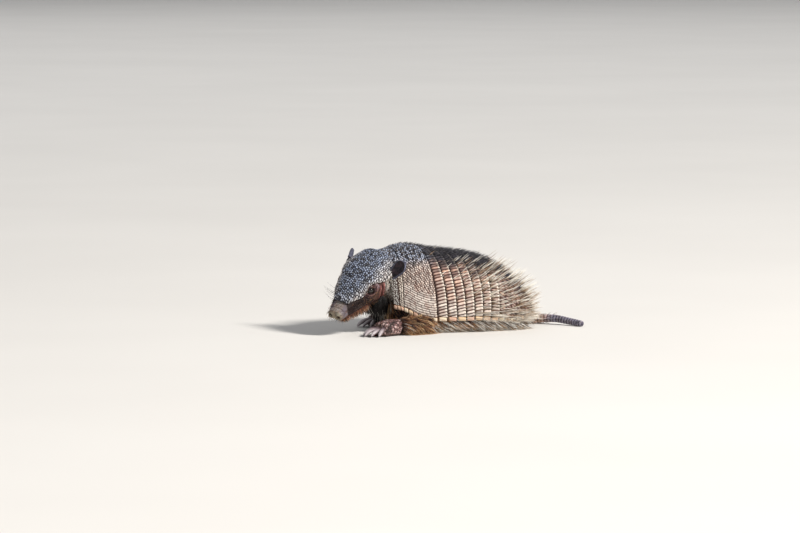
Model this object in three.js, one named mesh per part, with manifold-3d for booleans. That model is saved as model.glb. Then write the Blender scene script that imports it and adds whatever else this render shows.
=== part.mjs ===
// A large hairy armadillo, life size, crouched on the ground with its head lowered and turned to its left.
// Millimetres, +Z up. The animal faces -Y and its left side is +X. The floor is Z = 0.
import * as THREE from "three";
import { mergeVertices } from "three/addons/utils/BufferGeometryUtils.js";
import Module from "manifold-3d";

const wasm = await Module();
wasm.setup();

// ---- Driving dimensions -------------------------------------------------------------------------

const GAP = 0.35; // clearance between neighbouring pieces
const FLOOR = 0;
const SLIVER = 0.06; // edges shorter than this are closed up

// Trunk, measured along Y from the nape at 0 to the rump.
const TRUNK = {
  front: 5, // the flat that meets the neck
  length: 203,
  halfWidth: 73,
  widestAt: 122,
  frontTaper: 6, // how far in front of the nape the plan outline would close
  wideHeight: 35, // height of the widest line above the floor
  rumpHeight: 18, // height at which the rump's outline closes
  topHeight: 94,
  topAt: 56,
  topTaper: 70, // how far in front of the nape the back's outline would close
  hump: 9.5, // the shoulders stand this much over the line of the back
  bend: 8, // the front of the body curves this far to the left
  topSquare: 2.3,
  bellySquare: 2.9,
};

// Bony armour on the trunk.
const ARMOUR = {
  shieldThick: 4.2,
  bandThick: 3.2,
  bandLift: 1.4, // how far a band's rear edge stands over the next band
  inner: 1.1, // clearance under the plates
  nuchalFront: 9,
  nuchalRear: 18,
  scapularRear: 49.5,
  bands: 7,
  bandPitch: 12.2,
  rumpEnd: 201,
  sweep: 8, // how far the edges at the shoulders run back at the sides
};

// Head, measured from the occiput forward to the nose.
const HEAD = {
  length: 92,
  shieldThick: 2.6,
  shieldInner: 1.1, // clearance under the shield
  shieldFront: 74,
  shieldRear: -4,
  eyeAt: 43,
  eyeAngle: 66, // round from the crown
  eyeRadius: 4.4,
  eyeProud: 1.2,
  chinAt: 81,
  place: [11.5, -4.8, 77.2],
  yaw: 25.3,
  pitch: 30.5,
  roll: 17.7,
};

// Ears point out, back and up; the left one stands more upright.
const EAR = {
  length: 26.5,
  width: 18.5,
  rootShare: 0.85, // of the width, at the root
  thick: 1.4,
  tipThick: 0.8,
  root: [31, -6.5, 6.5], // of the left ear, on the head
  rollAtRoot: 95, // half the angle that the leaf is rolled through
  rollAtTip: 45,
  way: { left: [0.51, 0.55, 0.665], right: [-0.42, 0.9, -0.14] }, // each ear is turned on its own
  mouth: { left: [0.06, -0.545, 0.685], right: [-0.3, -0.8, 0.3] }, // the way that it opens
};
const TAIL = { rootRadius: 6.5, tipRadius: 3.4 };
const CLAW_SIDES = 6;

// ---- Helpers ------------------------------------------------------------------------------------

const radians = THREE.MathUtils.degToRad;
const signedPower = (x, p) => Math.sign(x) * Math.abs(x) ** p;

// A superellipse's quarter: 1 at t = 0, falling to 0 at t = 1.
const fall = (t, p) => Math.max(0, 1 - Math.min(1, Math.abs(t)) ** p) ** (1 / p);

// Smooth bump of height 1 at x = 0.
const bump = (x, width) => Math.exp(-((x / width) ** 2));

const smooth = (x, from, to) => THREE.MathUtils.smoothstep(x, from, to);

// Moves every vertex of a closed three.js shape by its place or its uv, and merges the seams.
function reshape(geometry, place) {
  const { position, uv } = geometry.attributes;
  const at = new THREE.Vector3();
  for (let i = 0; i < position.count; i++) {
    at.fromBufferAttribute(position, i);
    const moved = place(at, uv.getX(i), uv.getY(i));
    position.setXYZ(i, moved.x, moved.y, moved.z);
  }
  geometry.deleteAttribute("normal");
  geometry.deleteAttribute("uv");
  return outward(mergeVertices(geometry, 1e-3));
}

// Turns the faces round if the reshaped body came out inside out.
function outward(geometry) {
  if (solidOf(geometry).volume() < 0) {
    const index = geometry.index.array;
    for (let i = 0; i < index.length; i += 3) {
      [index[i + 1], index[i + 2]] = [index[i + 2], index[i + 1]];
    }
  }
  return geometry;
}

function solidOf(geometry) {
  return new wasm.Manifold(
    new wasm.Mesh({
      numProp: 3,
      vertProperties: new Float32Array(geometry.attributes.position.array),
      triVerts: new Uint32Array(geometry.index.array),
    }),
  );
}

// Slivers that the cuts leave are closed up first.
function geometryOf(solid) {
  const mesh = solid.asOriginal().simplify(SLIVER).getMesh();
  return new THREE.BufferGeometry()
    .setAttribute("position", new THREE.BufferAttribute(mesh.vertProperties, 3))
    .setIndex(new THREE.BufferAttribute(mesh.triVerts, 1));
}

// Takes the cutters away from a body, and keeps the largest piece that is left.
function cut(geometry, ...cutters) {
  let left = solidOf(geometry);
  for (const cutter of cutters) left = left.subtract(solidOf(cutter));
  const pieces = left.decompose().sort((a, b) => b.volume() - a.volume());
  return geometryOf(pieces[0]);
}

function join(first, ...others) {
  let whole = solidOf(first);
  for (const other of others) whole = whole.add(solidOf(other));
  return geometryOf(whole);
}

// A closed body whose sections are surface(t, angle) for t from 0 to 1; each end closes on its middle.
function sweep(surface, middle, sides, rows) {
  const ball = new THREE.SphereGeometry(1, sides, rows);
  return reshape(ball, (_, u, v) => {
    const row = Math.round((1 - v) * rows);
    if (row === 0) return middle(0);
    if (row === rows) return middle(1);
    return surface((row - 1) / (rows - 2), u * 2 * Math.PI);
  });
}

// A body along a bent line. Each station is [x, y, z, half-width, height above, height below].
function limb(stations, { sides = 14, rows = 10, square = 2.2, grow = 0, turn = null } = {}) {
  const line = new THREE.CatmullRomCurve3(
    stations.map((s) => new THREE.Vector3(s[0], s[1], s[2])),
    false,
    "centripetal",
  );
  const sizes = new THREE.CatmullRomCurve3(
    stations.map((s) => new THREE.Vector3(s[3], s[4], s[5])),
    false,
    "catmullrom",
    0.5,
  );
  const sideAt = (t) => {
    const side = line.getTangent(t).cross(turn ?? new THREE.Vector3(0, 0, 1));
    return side.normalize();
  };
  const surface = (t, angle) => {
    const tangent = line.getTangent(t);
    const side = sideAt(t);
    const up = side.clone().cross(tangent).normalize();
    const size = sizes.getPoint(t);
    const across = (size.x + grow) * signedPower(Math.sin(angle), 2 / square);
    const high = Math.cos(angle) >= 0 ? size.y + grow : size.z + grow;
    const point = line
      .getPoint(t)
      .addScaledVector(side, across)
      .addScaledVector(up, high * signedPower(Math.cos(angle), 2 / square));
    const end = t < 0.5 ? -1 : 1;
    if (grow && (t === 0 || t === 1)) point.addScaledVector(tangent, end * grow);
    return onFloor(point);
  };
  const middle = (t) =>
    onFloor(line.getPoint(t).addScaledVector(line.getTangent(t), t < 0.5 ? -grow : grow));
  return sweep(surface, middle, sides, rows);
}

function onFloor(point) {
  point.z = Math.max(point.z, FLOOR);
  return point;
}

// A curved plate on a surface: a box whose width runs across, length runs along and height is the thickness.
function plate(place, across, along) {
  return reshape(new THREE.BoxGeometry(1, 1, 1, across, along, 1), (at) =>
    place(at.x * 2, at.y + 0.5, at.z + 0.5),
  );
}

// Pushes a surface point outwards along the surface's own normal.
function offset(surface, along, angle, distance) {
  const step = 0.02;
  const a = surface(along, angle - step);
  const b = surface(along, angle + step);
  const c = surface(along - step * 20, angle);
  const d = surface(along + step * 20, angle);
  const normal = b.sub(a).cross(d.sub(c)).normalize();
  const at = surface(along, angle);
  if (normal.x * Math.sin(angle) + normal.z * Math.cos(angle) < 0) normal.negate();
  return at.addScaledVector(normal, distance);
}

function mesh(name, geometry, material) {
  const made = new THREE.Mesh(geometry, material);
  made.name = name;
  return made;
}

// ---- Materials ----------------------------------------------------------------------------------

const finish = (color, roughness) =>
  new THREE.MeshStandardMaterial({ color, roughness, metalness: 0 });
const armourFinish = finish(0x6f6258, 0.62);
const headArmourFinish = finish(0x5f5a58, 0.6);
const skinFinish = finish(0x6b4c40, 0.75);
const earFinish = finish(0x34303a, 0.7);
const eyeFinish = finish(0x090605, 0.08);
const clawFinish = finish(0x9a8d84, 0.4);
const tailFinish = finish(0x4a4146, 0.65);

// ---- Trunk --------------------------------------------------------------------------------------

const trunkHalfWidth = (y) => {
  const taper = y < TRUNK.widestAt ? TRUNK.widestAt + TRUNK.frontTaper : TRUNK.length - TRUNK.widestAt;
  return TRUNK.halfWidth * fall((y - TRUNK.widestAt) / taper, y < TRUNK.widestAt ? 2 : 2.25);
};

const trunkMiddle = (y) => TRUNK.bend * (1 - smooth(y, -20, 85));

// The widest line sinks towards the rump.
const wideLine = (y) =>
  TRUNK.wideHeight - (TRUNK.wideHeight - TRUNK.rumpHeight) * smooth(y, 110, TRUNK.length);

const backLine = (y) => {
  const front = y < TRUNK.topAt;
  const reach = front ? TRUNK.topAt + TRUNK.topTaper : TRUNK.length - TRUNK.topAt;
  const foot = front ? TRUNK.wideHeight : TRUNK.rumpHeight;
  const t = Math.min(1, Math.abs(y - TRUNK.topAt) / reach);
  const shape = front ? (1 - t ** 2.2) ** 0.45 : (1 - t ** 3.2) ** 0.85;
  return foot + (TRUNK.topHeight - foot) * shape + TRUNK.hump * bump(y - 34, 34);
};

// The underside hangs just below the floor's level along the belly, so it rests on a flat.
const trunkBelly = (y) => {
  const chest = 1 - 0.45 * smooth(-y, -45, 0);
  const rear = 1 - 0.55 * smooth(y, 160, TRUNK.length);
  return (wideLine(y) + 1.2) * chest * rear;
};

const trunkSurface = (y, angle) => {
  const up = Math.cos(angle) >= 0;
  const square = 2 / (up ? TRUNK.topSquare : TRUNK.bellySquare);
  const high = up ? Math.max(0, backLine(y) - wideLine(y)) : trunkBelly(y);
  return new THREE.Vector3(
    trunkMiddle(y) + trunkHalfWidth(y) * signedPower(Math.sin(angle), square),
    y,
    wideLine(y) + high * signedPower(Math.cos(angle), square),
  );
};

// Stations that close up towards the rounded rump.
const trunkStation = (t) =>
  THREE.MathUtils.lerp(TRUNK.front, TRUNK.length - 1, Math.sin((t * Math.PI) / 2) ** 0.85);

function trunk(grow = 0) {
  const surface = (t, angle) => {
    const point = onFloor(offset(trunkSurface, trunkStation(t), angle, grow));
    if (t === 0) point.y = TRUNK.front - grow;
    return point;
  };
  const middle = (t) => {
    const y = t < 0.5 ? TRUNK.front - grow : TRUNK.length + grow;
    return new THREE.Vector3(trunkMiddle(y), y, wideLine(y));
  };
  return sweep(surface, middle, 20, 14);
}

// ---- Armour on the trunk ------------------------------------------------------------------------

// The angle from the top at which the armour ends, at each station along the trunk.
const marginAngle = (y) =>
  radians(113 - 17 * bump(y - 8, 24) - 13 * smooth(y, 150, 206));

// The edges run back at the sides, most at the rear of the shoulders.
const swept = (across, y) =>
  ARMOUR.sweep * across ** 2 * smooth(y, 15, 55) * (1 - smooth(y, 60, 150));

// A plate from y = front to y = rear. Its outer face can rise towards the rear edge.
// The front edge can bow forward in the middle.
function armour(front, rear, { thick, lift = 0, bow = 0, across, along, grow = 0, ease = (t) => t }) {
  const place = (u, v, w) => {
    const base = THREE.MathUtils.lerp(front - grow - bow * (1 - u * u), rear + grow, ease(v));
    const y = base + swept(u, base);
    const angle = u * (marginAngle(y) + (grow ? 0.02 : 0));
    const outer = thick * (1 - 0.35 * Math.abs(u) ** 6) + lift * v + grow;
    return offset(trunkSurface, y, angle, THREE.MathUtils.lerp(grow ? -1 : ARMOUR.inner, outer, w));
  };
  return plate(place, across, along);
}

const bandFront = (i) => ARMOUR.scapularRear + i * ARMOUR.bandPitch;
const pelvicFront = bandFront(ARMOUR.bands);
const rumpEase = (t) => Math.sin((t * Math.PI) / 2) ** 0.92;

const armourPlates = {
  nuchal_band: (grow = 0) =>
    armour(ARMOUR.nuchalFront, ARMOUR.nuchalRear - GAP, {
      thick: 3.2, lift: 1, bow: 6, across: 16, along: 2, grow,
    }),
  scapular_shield: (grow = 0) =>
    armour(ARMOUR.nuchalRear, ARMOUR.scapularRear - GAP, {
      thick: ARMOUR.shieldThick, lift: 0.8, across: 16, along: 3, grow,
    }),
  pelvic_shield: (grow = 0) =>
    armour(pelvicFront, ARMOUR.rumpEnd, {
      thick: ARMOUR.shieldThick, across: 16, along: 7, grow, ease: rumpEase,
    }),
};
for (let i = 0; i < ARMOUR.bands; i++) {
  armourPlates[`band_${i + 1}`] = (grow = 0) =>
    armour(bandFront(i), bandFront(i + 1) - GAP, {
      thick: ARMOUR.bandThick, lift: ARMOUR.bandLift, across: 16, along: 1, grow,
    });
}

const armourGrown = Object.values(armourPlates).map((make) => make(GAP));

// ---- Head ---------------------------------------------------------------------------------------

// Stations are [distance from the occiput, half-width, height above, height below, rise of the axis].
const HEAD_STATIONS = [
  [-14, 21, 16, 17, -1],
  [-5, 26.5, 20.5, 23, 0],
  [10, 30.5, 22.5, 27, 0],
  [24, 30.5, 22, 28, 0],
  [42, 26, 18.5, 27, -1],
  [60, 19.5, 13.5, 23, -3],
  [74, 14.6, 10, 16, -5],
  [84, 11.8, 7.8, 10.5, -6.5],
  [91, 10, 6.2, 6.8, -7.5],
];

const headSizes = new THREE.CatmullRomCurve3(
  HEAD_STATIONS.map((s) => new THREE.Vector3(s[1], s[2], s[3])),
  false,
  "catmullrom",
  0.5,
);
const headLine = new THREE.CatmullRomCurve3(
  HEAD_STATIONS.map((s) => new THREE.Vector3(0, -s[0], s[4])),
  false,
  "catmullrom",
  0.5,
);

// The curve parameter at a distance forward of the occiput.
function headParameter(distance) {
  let low = 0;
  let high = 1;
  for (let i = 0; i < 30; i++) {
    const mid = (low + high) / 2;
    if (-headLine.getPoint(mid).y < distance) low = mid;
    else high = mid;
  }
  return (low + high) / 2;
}

// Cheeks fill out low behind the mouth, and the crown is a little flat.
const headSurface = (y, angle) => {
  const t = headParameter(-y);
  const size = headSizes.getPoint(t);
  const axis = headLine.getPoint(t);
  const up = Math.cos(angle) >= 0;
  const square = 2 / (up ? 2.35 : 2.0);
  return new THREE.Vector3(
    size.x * signedPower(Math.sin(angle), square),
    y,
    axis.z + (up ? size.y : size.z) * signedPower(Math.cos(angle), square),
  );
};

const HEAD_REAR = HEAD_STATIONS[0][0];
const HEAD_FRONT = HEAD_STATIONS[HEAD_STATIONS.length - 1][0];

function headForm(grow = 0) {
  const station = (t) => -THREE.MathUtils.lerp(HEAD_REAR + 0.5, HEAD_FRONT - 0.5, t);
  const surface = (t, angle) => {
    const point = offset(headSurface, station(t), angle, grow);
    if (t === 0) point.y += grow;
    if (t === 1) point.y -= grow;
    return point;
  };
  const middle = (t) => {
    const end = headLine.getPoint(t);
    end.y += t < 0.5 ? grow : -grow - 1.6;
    return end;
  };
  return sweep(surface, middle, 16, 14);
}

// The mouth line from the chin back to the angle of the jaw, as [distance, height] on the head.
const MOUTH_LINE = [
  [HEAD.chinAt, -11.8],
  [62, -9.6],
  [46, -7.6],
  [38, -9],
];
const BELOW_THROAT = -40;

// The lower jaw is what lies below the mouth line.
function jawRegion(grow, chin) {
  const outline = new THREE.Shape();
  outline.moveTo(chin, MOUTH_LINE[0][1] + grow);
  for (const [distance, height] of MOUTH_LINE.slice(1)) outline.lineTo(distance - grow, height + grow);
  outline.lineTo(20 - grow, BELOW_THROAT);
  outline.lineTo(chin, BELOW_THROAT);
  const slab = new THREE.ExtrudeGeometry(outline, { depth: 90, bevelEnabled: false });
  slab.translate(0, 0, -45);
  // The outline's first axis becomes the way forward, its second stays height.
  const turn = new THREE.Matrix4().makeBasis(
    new THREE.Vector3(0, -1, 0),
    new THREE.Vector3(0, 0, 1),
    new THREE.Vector3(-1, 0, 0),
  );
  slab.applyMatrix4(turn);
  slab.deleteAttribute("normal");
  slab.deleteAttribute("uv");
  return outward(mergeVertices(slab, 1e-3));
}

// The eye looks out just below the brow and stands a little proud of the head.
const eyePlace = (side) =>
  offset(headSurface, -HEAD.eyeAt, radians(side * HEAD.eyeAngle), HEAD.eyeProud - HEAD.eyeRadius);

const eyeBall = (side, grow) => {
  const ball = new THREE.SphereGeometry(HEAD.eyeRadius + grow, 10, 7);
  const centre = eyePlace(side);
  return reshape(ball, (at) => at.clone().add(centre));
};

// The shield's half-angle narrows above the eye, so that its edge makes a brow.
const headShieldAngle = (distance) =>
  radians(74 - 24 * bump(distance - HEAD.eyeAt + 2, 14) - 25 * smooth(distance, 50, 74));

function headShield(grow = 0) {
  const place = (u, v, w) => {
    const bow = 7 * (1 - u * u);
    const distance = THREE.MathUtils.lerp(
      HEAD.shieldRear - grow - bow,
      HEAD.shieldFront + grow + bow * 0.3,
      v,
    );
    const angle = u * (headShieldAngle(distance) + (grow ? 0.03 : 0));
    const outer = HEAD.shieldThick * (1 - 0.3 * Math.abs(u) ** 6) + grow;
    return offset(headSurface, -distance, angle, THREE.MathUtils.lerp(grow ? -1 : HEAD.shieldInner, outer, w));
  };
  return plate(place, 12, 7);
}

// An ear is a leaf rolled into a funnel at its base and opening towards its tip.
function ear(side, grow = 0) {
  const mirror = new THREE.Vector3(side, 1, 1);
  const root = new THREE.Vector3(...EAR.root).multiply(mirror);
  const own = side > 0 ? "left" : "right";
  const along = new THREE.Vector3(...EAR.way[own]).normalize();
  const mouth = new THREE.Vector3(...EAR.mouth[own]);
  const depth = mouth.addScaledVector(along, -mouth.dot(along)).normalize();
  const across = along.clone().cross(depth).normalize();
  const place = (u, v, w) => {
    const reach = v * EAR.length;
    const widening = THREE.MathUtils.lerp(EAR.rootShare, 1, smooth(v, 0, 0.5));
    const half = (EAR.width / 2) * widening * fall(Math.max(0, 2 * v - 1), 2.4);
    const roll = radians(THREE.MathUtils.lerp(EAR.rollAtRoot, EAR.rollAtTip, v ** 0.6));
    const radius = half / roll;
    const thick = THREE.MathUtils.lerp(EAR.thick, EAR.tipThick, v) + grow;
    const ring = radius + (w - 0.5) * thick;
    const angle = u * roll;
    return root
      .clone()
      .addScaledVector(along, reach * (1 - 0.1 * u * u * v))
      .addScaledVector(across, ring * Math.sin(angle))
      .addScaledVector(depth, radius - ring * Math.cos(angle));
  };
  return plate(place, 7, 6);
}

const headGroup = new THREE.Group();
headGroup.position.set(...HEAD.place);
headGroup.rotation.set(radians(HEAD.pitch), radians(HEAD.roll), radians(HEAD.yaw), "ZXY");
headGroup.updateMatrixWorld(true);

const inHeadGroup = (geometry) => geometry.clone().applyMatrix4(headGroup.matrixWorld);

// ---- Legs ---------------------------------------------------------------------------------------

// One claw from just beyond the toe's end to its tip, arched, flat behind and blunt at the tip.
function claw(end, along, length, height, width) {
  const root = end.clone().addScaledVector(along, GAP + 0.5).setZ(height);
  const tip = root.clone().addScaledVector(along, length).setZ(1);
  const middle = root.clone().lerp(tip, 0.5);
  middle.z += length * 0.12;
  const stations = [
    [...root.toArray(), width * 0.95, width, width],
    [...middle.toArray(), width * 0.72, width * 0.8, width * 0.7],
    [...tip.toArray(), width * 0.22, width * 0.25, width * 0.22],
  ];
  return limb(stations, { sides: CLAW_SIDES, rows: 4, square: 2 });
}

// The way that a heading points: degrees from -Y, turned outwards.
const headingWay = (side, degrees) =>
  new THREE.Vector3(side * Math.sin(radians(degrees)), -Math.cos(radians(degrees)), 0);

// A foot with its toes. Heel and ball are points; heading is the way that the toes point.
function foot({ side, heel, ball, heading, halfWidth, height, toes, spread, grow = 0 }) {
  const way = headingWay(side, heading);
  const out = new THREE.Vector3(-way.y, way.x, 0).multiplyScalar(side);
  const palmTip = ball.clone().addScaledVector(way, 4);
  const palm = limb(
    [
      [...heel.toArray(), halfWidth * 0.72, height * 0.95, heel.z + 0.6],
      [...heel.clone().lerp(ball, 0.55).toArray(), halfWidth * 0.9, height, heel.z + 0.6],
      [...ball.toArray(), halfWidth, height * 0.8, ball.z + 0.6],
      [...palmTip.toArray(), halfWidth * 0.9, height * 0.55, ball.z * 0.9],
    ],
    { sides: 10, rows: 5, square: 2.5, grow },
  );
  const digits = toes.map(({ place, length, width }) => {
    const along = headingWay(side, heading + place * spread);
    const root = ball
      .clone()
      .addScaledVector(out, place * halfWidth * 0.78)
      .addScaledVector(way, -4);
    const end = root.clone().addScaledVector(along, length + 4);
    const high = width * 0.95;
    return {
      end,
      along,
      width,
      body: limb(
        [
          [root.x, root.y, ball.z * 0.9, width, high, ball.z],
          [end.x, end.y, ball.z * 0.72, width * 0.78, high * 0.75, ball.z],
        ],
        { sides: 6, rows: 3, square: 2.2, grow },
      ),
    };
  });
  return { palm, body: join(palm, ...digits.map((d) => d.body)), digits };
}

const FORE_TOES = [
  { place: -1, length: 5, width: 3.0, claw: 10 },
  { place: -0.5, length: 8, width: 3.4, claw: 14 },
  { place: 0, length: 9, width: 3.7, claw: 16 },
  { place: 0.5, length: 7, width: 3.5, claw: 14 },
  { place: 1, length: 5, width: 3.0, claw: 9 },
];
const HIND_TOES = [
  { place: -1, length: 4, width: 3.0, claw: 7 },
  { place: -0.5, length: 7, width: 3.4, claw: 10 },
  { place: 0, length: 8, width: 3.6, claw: 11 },
  { place: 0.5, length: 7, width: 3.4, claw: 10 },
  { place: 1, length: 4, width: 3.0, claw: 7 },
];

const V = (x, y, z) => new THREE.Vector3(x, y, z);

const LEGS = {
  fore_left: {
    side: 1,
    limb: [
      [38, 50, 34, 18, 16, 20],
      [52, 46, 20, 15, 8, 19],
      [60, 24, 15, 13, 8, 15],
      [63, 3, 13, 11.5, 8, 12],
    ],
    foot: { heel: V(63, 1, 10), ball: V(64, -20, 9), heading: 12, halfWidth: 12.5, height: 10 },
    toes: FORE_TOES,
    spread: 13,
  },
  fore_right: {
    side: -1,
    limb: [
      [-38, 76, 36, 18, 18, 18],
      [-52, 78, 22, 15, 10, 20],
      [-53, 62, 16, 13, 9, 16],
      [-50, 42, 13, 11.5, 9, 12],
    ],
    foot: { heel: V(-50, 44, 9), ball: V(-47, 22, 8), heading: -6, halfWidth: 12.5, height: 9 },
    toes: FORE_TOES,
    spread: 13,
  },
};
for (const [name, side, shift] of [["hind_left", 1, 0], ["hind_right", -1, 6]]) {
  LEGS[name] = {
    side,
    limb: [
      [side * 32, 172 + shift, 34, 17, 15, 18],
      [side * 42, 158 + shift, 27, 17, 14, 19],
      [side * 48, 144 + shift, 19, 14, 10, 16],
      [side * 50, 132 + shift, 13, 10, 6, 11],
    ],
    foot: {
      heel: V(side * 45, 170 + shift, 7.5),
      ball: V(side * 53, 128 + shift, 6.5),
      heading: 8,
      halfWidth: 11.5,
      height: 7,
    },
    toes: HIND_TOES,
    spread: 10,
  };
}

// ---- Neck and tail ------------------------------------------------------------------------------

const neckForm = (grow = 0) =>
  limb(
    [
      [6, 40, 54, 20, 20, 22],
      [8, 20, 58, 26, 24, 27],
      [10, 4, 62, 27, 24, 29],
      [13, -12, 64, 22, 16, 26],
    ],
    { sides: 12, rows: 6, grow },
  );

const TAIL_LINE = [
  [0, 180, 14],
  [1, 200, 7.5],
  [7, 219, 6.5],
  [24, 238, 7.5],
  [47, 250, 5],
  [68, 256, 3.6],
];

function tailStations() {
  const last = TAIL_LINE.length - 1;
  return TAIL_LINE.map(([x, y, z], i) => {
    const radius = THREE.MathUtils.lerp(TAIL.rootRadius, TAIL.tipRadius, (i / last) ** 0.8);
    return [x, y, z, radius, radius, Math.min(radius, z + 0.4)];
  });
}

// The tail is made whole and parted by thin cuts across it.
function tailPieces() {
  const whole = cut(limb(tailStations(), { sides: 10, rows: 14, square: 2 }), trunk(GAP), ...armourGrown);
  const bounds = [-Infinity, 218, 240, Infinity];
  return ["tail_root", "tail_middle", "tail_tip"].map((name, i) => {
    const from = Math.max(bounds[i] + GAP / 2, 150);
    const to = Math.min(bounds[i + 1] - GAP / 2, 400);
    const slab = new THREE.BoxGeometry(300, to - from, 300);
    slab.translate(0, (from + to) / 2, 0);
    const region = reshape(slab, (at) => at);
    return [name, geometryOf(solidOf(whole).intersect(solidOf(region)))];
  });
}

// ---- Assembly -----------------------------------------------------------------------------------

const animal = new THREE.Group();

const sockets = [eyeBall(1, GAP), eyeBall(-1, GAP)];
const headBody = cut(headForm(), jawRegion(GAP, HEAD_FRONT + 9), ...sockets);
const jawBody = geometryOf(solidOf(headForm()).intersect(solidOf(jawRegion(0, HEAD.chinAt))));
headGroup.add(mesh("head", headBody, skinFinish));
headGroup.add(mesh("jaw", jawBody, skinFinish));
headGroup.add(mesh("head_shield", headShield(), headArmourFinish));
for (const [name, side] of [["left", 1], ["right", -1]]) {
  headGroup.add(mesh(`eye_${name}`, eyeBall(side, 0), eyeFinish));
  const leaf = cut(ear(side), headForm(GAP), headShield(GAP));
  headGroup.add(mesh(`ear_${name}`, leaf, earFinish));
}
animal.add(headGroup);

// The head pushes into the front of the armour, which makes room for it.
const headGrown = [headForm(GAP), headShield(GAP), ear(1, 1), ear(-1, 1)].map(inHeadGroup);
for (const [name, make] of Object.entries(armourPlates)) {
  const front = name === "nuchal_band" || name === "scapular_shield";
  animal.add(mesh(name, front ? cut(make(), ...headGrown) : make(), armourFinish));
}

// The room under the belly that a foot and its claws lie in.
function footRoom({ side, foot: { heel, ball, heading, halfWidth, height } }) {
  const tip = ball.clone().addScaledVector(headingWay(side, heading), 30);
  const across = halfWidth + 6;
  const back = heel.clone().addScaledVector(headingWay(side, heading), -12);
  const stations = [back, heel, ball, tip].map((p) => [p.x, p.y, 8, across, height + 2, 12]);
  return limb(stations, { sides: 8, rows: 4, square: 3, grow: 1 });
}

const trunkCutters = [neckForm(GAP)];
for (const [name, leg] of Object.entries(LEGS)) {
  const shankShape = { sides: 10, rows: 6 };
  trunkCutters.push(limb(leg.limb, { ...shankShape, grow: 0.8 }), footRoom(leg));
  const sole = { side: leg.side, ...leg.foot, toes: leg.toes, spread: leg.spread };
  const made = foot(sole);
  const shank = cut(limb(leg.limb, shankShape), ...armourGrown, foot({ ...sole, grow: 0.7 }).palm);
  animal.add(mesh(`${name}_leg`, shank, skinFinish));
  animal.add(mesh(`${name}_foot`, cut(made.body, ...armourGrown), skinFinish));
  made.digits.forEach(({ end, along, width }, i) => {
    const body = claw(end, along, leg.toes[i].claw, leg.foot.ball.z * 0.72, width * 0.8);
    animal.add(mesh(`${name}_claw_${i + 1}`, body, clawFinish));
  });
}
animal.add(mesh("trunk", cut(trunk(), ...trunkCutters, ...headGrown), skinFinish));
animal.add(mesh("neck", cut(neckForm(), ...armourGrown, ...headGrown), skinFinish));

for (const [name, body] of tailPieces()) {
  animal.add(mesh(name, body, tailFinish));
}

// The origin is under the middle of the animal's box, on the floor.
const box = new THREE.Box3().setFromObject(animal, true);
const middle = box.getCenter(new THREE.Vector3());
animal.position.set(-middle.x, -middle.y, 0);

const part = new THREE.Group();
part.add(animal);

export default part;
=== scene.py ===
# %% [markdown]
# # A large hairy armadillo, life size
# An armadillo is a mammal in a coat of horny scutes over bone: a shield on the head, a narrow band on the
# nape, a shield over the shoulders, seven movable bands and a shield over the rump. Coarse pale bristles
# grow from under the scutes' rear edges, and dark hair hangs round the belly and the legs. The solids come
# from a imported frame. This lesson dresses them: a skin, scutes, ears, eyes, claws and hair.

import math

import bmesh
import bpy
import numpy as np
from mathutils import Matrix, Vector


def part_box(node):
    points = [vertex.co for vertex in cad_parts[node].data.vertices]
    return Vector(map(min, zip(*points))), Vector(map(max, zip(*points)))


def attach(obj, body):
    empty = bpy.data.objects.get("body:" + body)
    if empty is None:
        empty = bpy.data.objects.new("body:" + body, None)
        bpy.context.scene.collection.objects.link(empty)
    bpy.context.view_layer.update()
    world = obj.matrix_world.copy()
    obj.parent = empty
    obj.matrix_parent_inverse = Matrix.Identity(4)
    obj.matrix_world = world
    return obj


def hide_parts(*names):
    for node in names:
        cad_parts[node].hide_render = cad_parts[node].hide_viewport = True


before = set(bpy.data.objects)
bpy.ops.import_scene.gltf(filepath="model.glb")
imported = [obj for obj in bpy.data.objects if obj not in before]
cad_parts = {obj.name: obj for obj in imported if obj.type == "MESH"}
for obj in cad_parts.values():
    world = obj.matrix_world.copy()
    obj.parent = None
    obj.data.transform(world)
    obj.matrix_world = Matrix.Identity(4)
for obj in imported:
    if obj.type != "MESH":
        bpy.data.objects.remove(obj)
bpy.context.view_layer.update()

# %% [markdown]
# The camera comes first, so that every later step can be looked at. It stands far off, to the animal's left
# and a little ahead, and low down. A long lens keeps the perspective flat. The target is worked out from
# where the frame's origin falls in the picture and from how many millimetres a pixel spans there.

# %% Camera
IMAGE = (800, 533)
ORIGIN_PIXEL = (440.9, 327.7)
METRES_PER_PIXEL = 0.00125
DISTANCE = 5.5
AZIMUTH, ELEVATION = math.radians(65), math.radians(5)
SENSOR = 36
FAR_END = 100  # how far the camera sees, in metres


def show(name, data):
    """A new object with this data, linked into the scene."""
    made = bpy.data.objects.new(name, data)
    bpy.context.scene.collection.objects.link(made)
    return made


right = Vector((math.cos(AZIMUTH), math.sin(AZIMUTH), 0))
back = Vector((
    math.sin(AZIMUTH) * math.cos(ELEVATION),
    -math.cos(AZIMUTH) * math.cos(ELEVATION),
    math.sin(ELEVATION),
))
above = back.cross(right)
target = METRES_PER_PIXEL * (
    right * (IMAGE[0] / 2 - ORIGIN_PIXEL[0]) + above * (ORIGIN_PIXEL[1] - IMAGE[1] / 2)
)
lens = bpy.data.cameras.new("camera")
lens.sensor_width = SENSOR
lens.lens = SENSOR * DISTANCE / (IMAGE[0] * METRES_PER_PIXEL)
lens.clip_end = FAR_END
camera = show("camera", lens)
facing = Matrix((right, above, back)).transposed().to_4x4()
camera.matrix_world = Matrix.Translation(target + back * DISTANCE) @ facing
bpy.context.scene.camera = camera
print("camera: lens", round(lens.lens), "mm")

# %% [markdown]
# A few small curves describe the whole animal. smooth is a soft step, bump a soft hill, fall the quarter of
# a superellipse and signed_power squares or rounds a circle. They all take NumPy arrays, so a hundred
# thousand points are placed by one expression.

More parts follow.
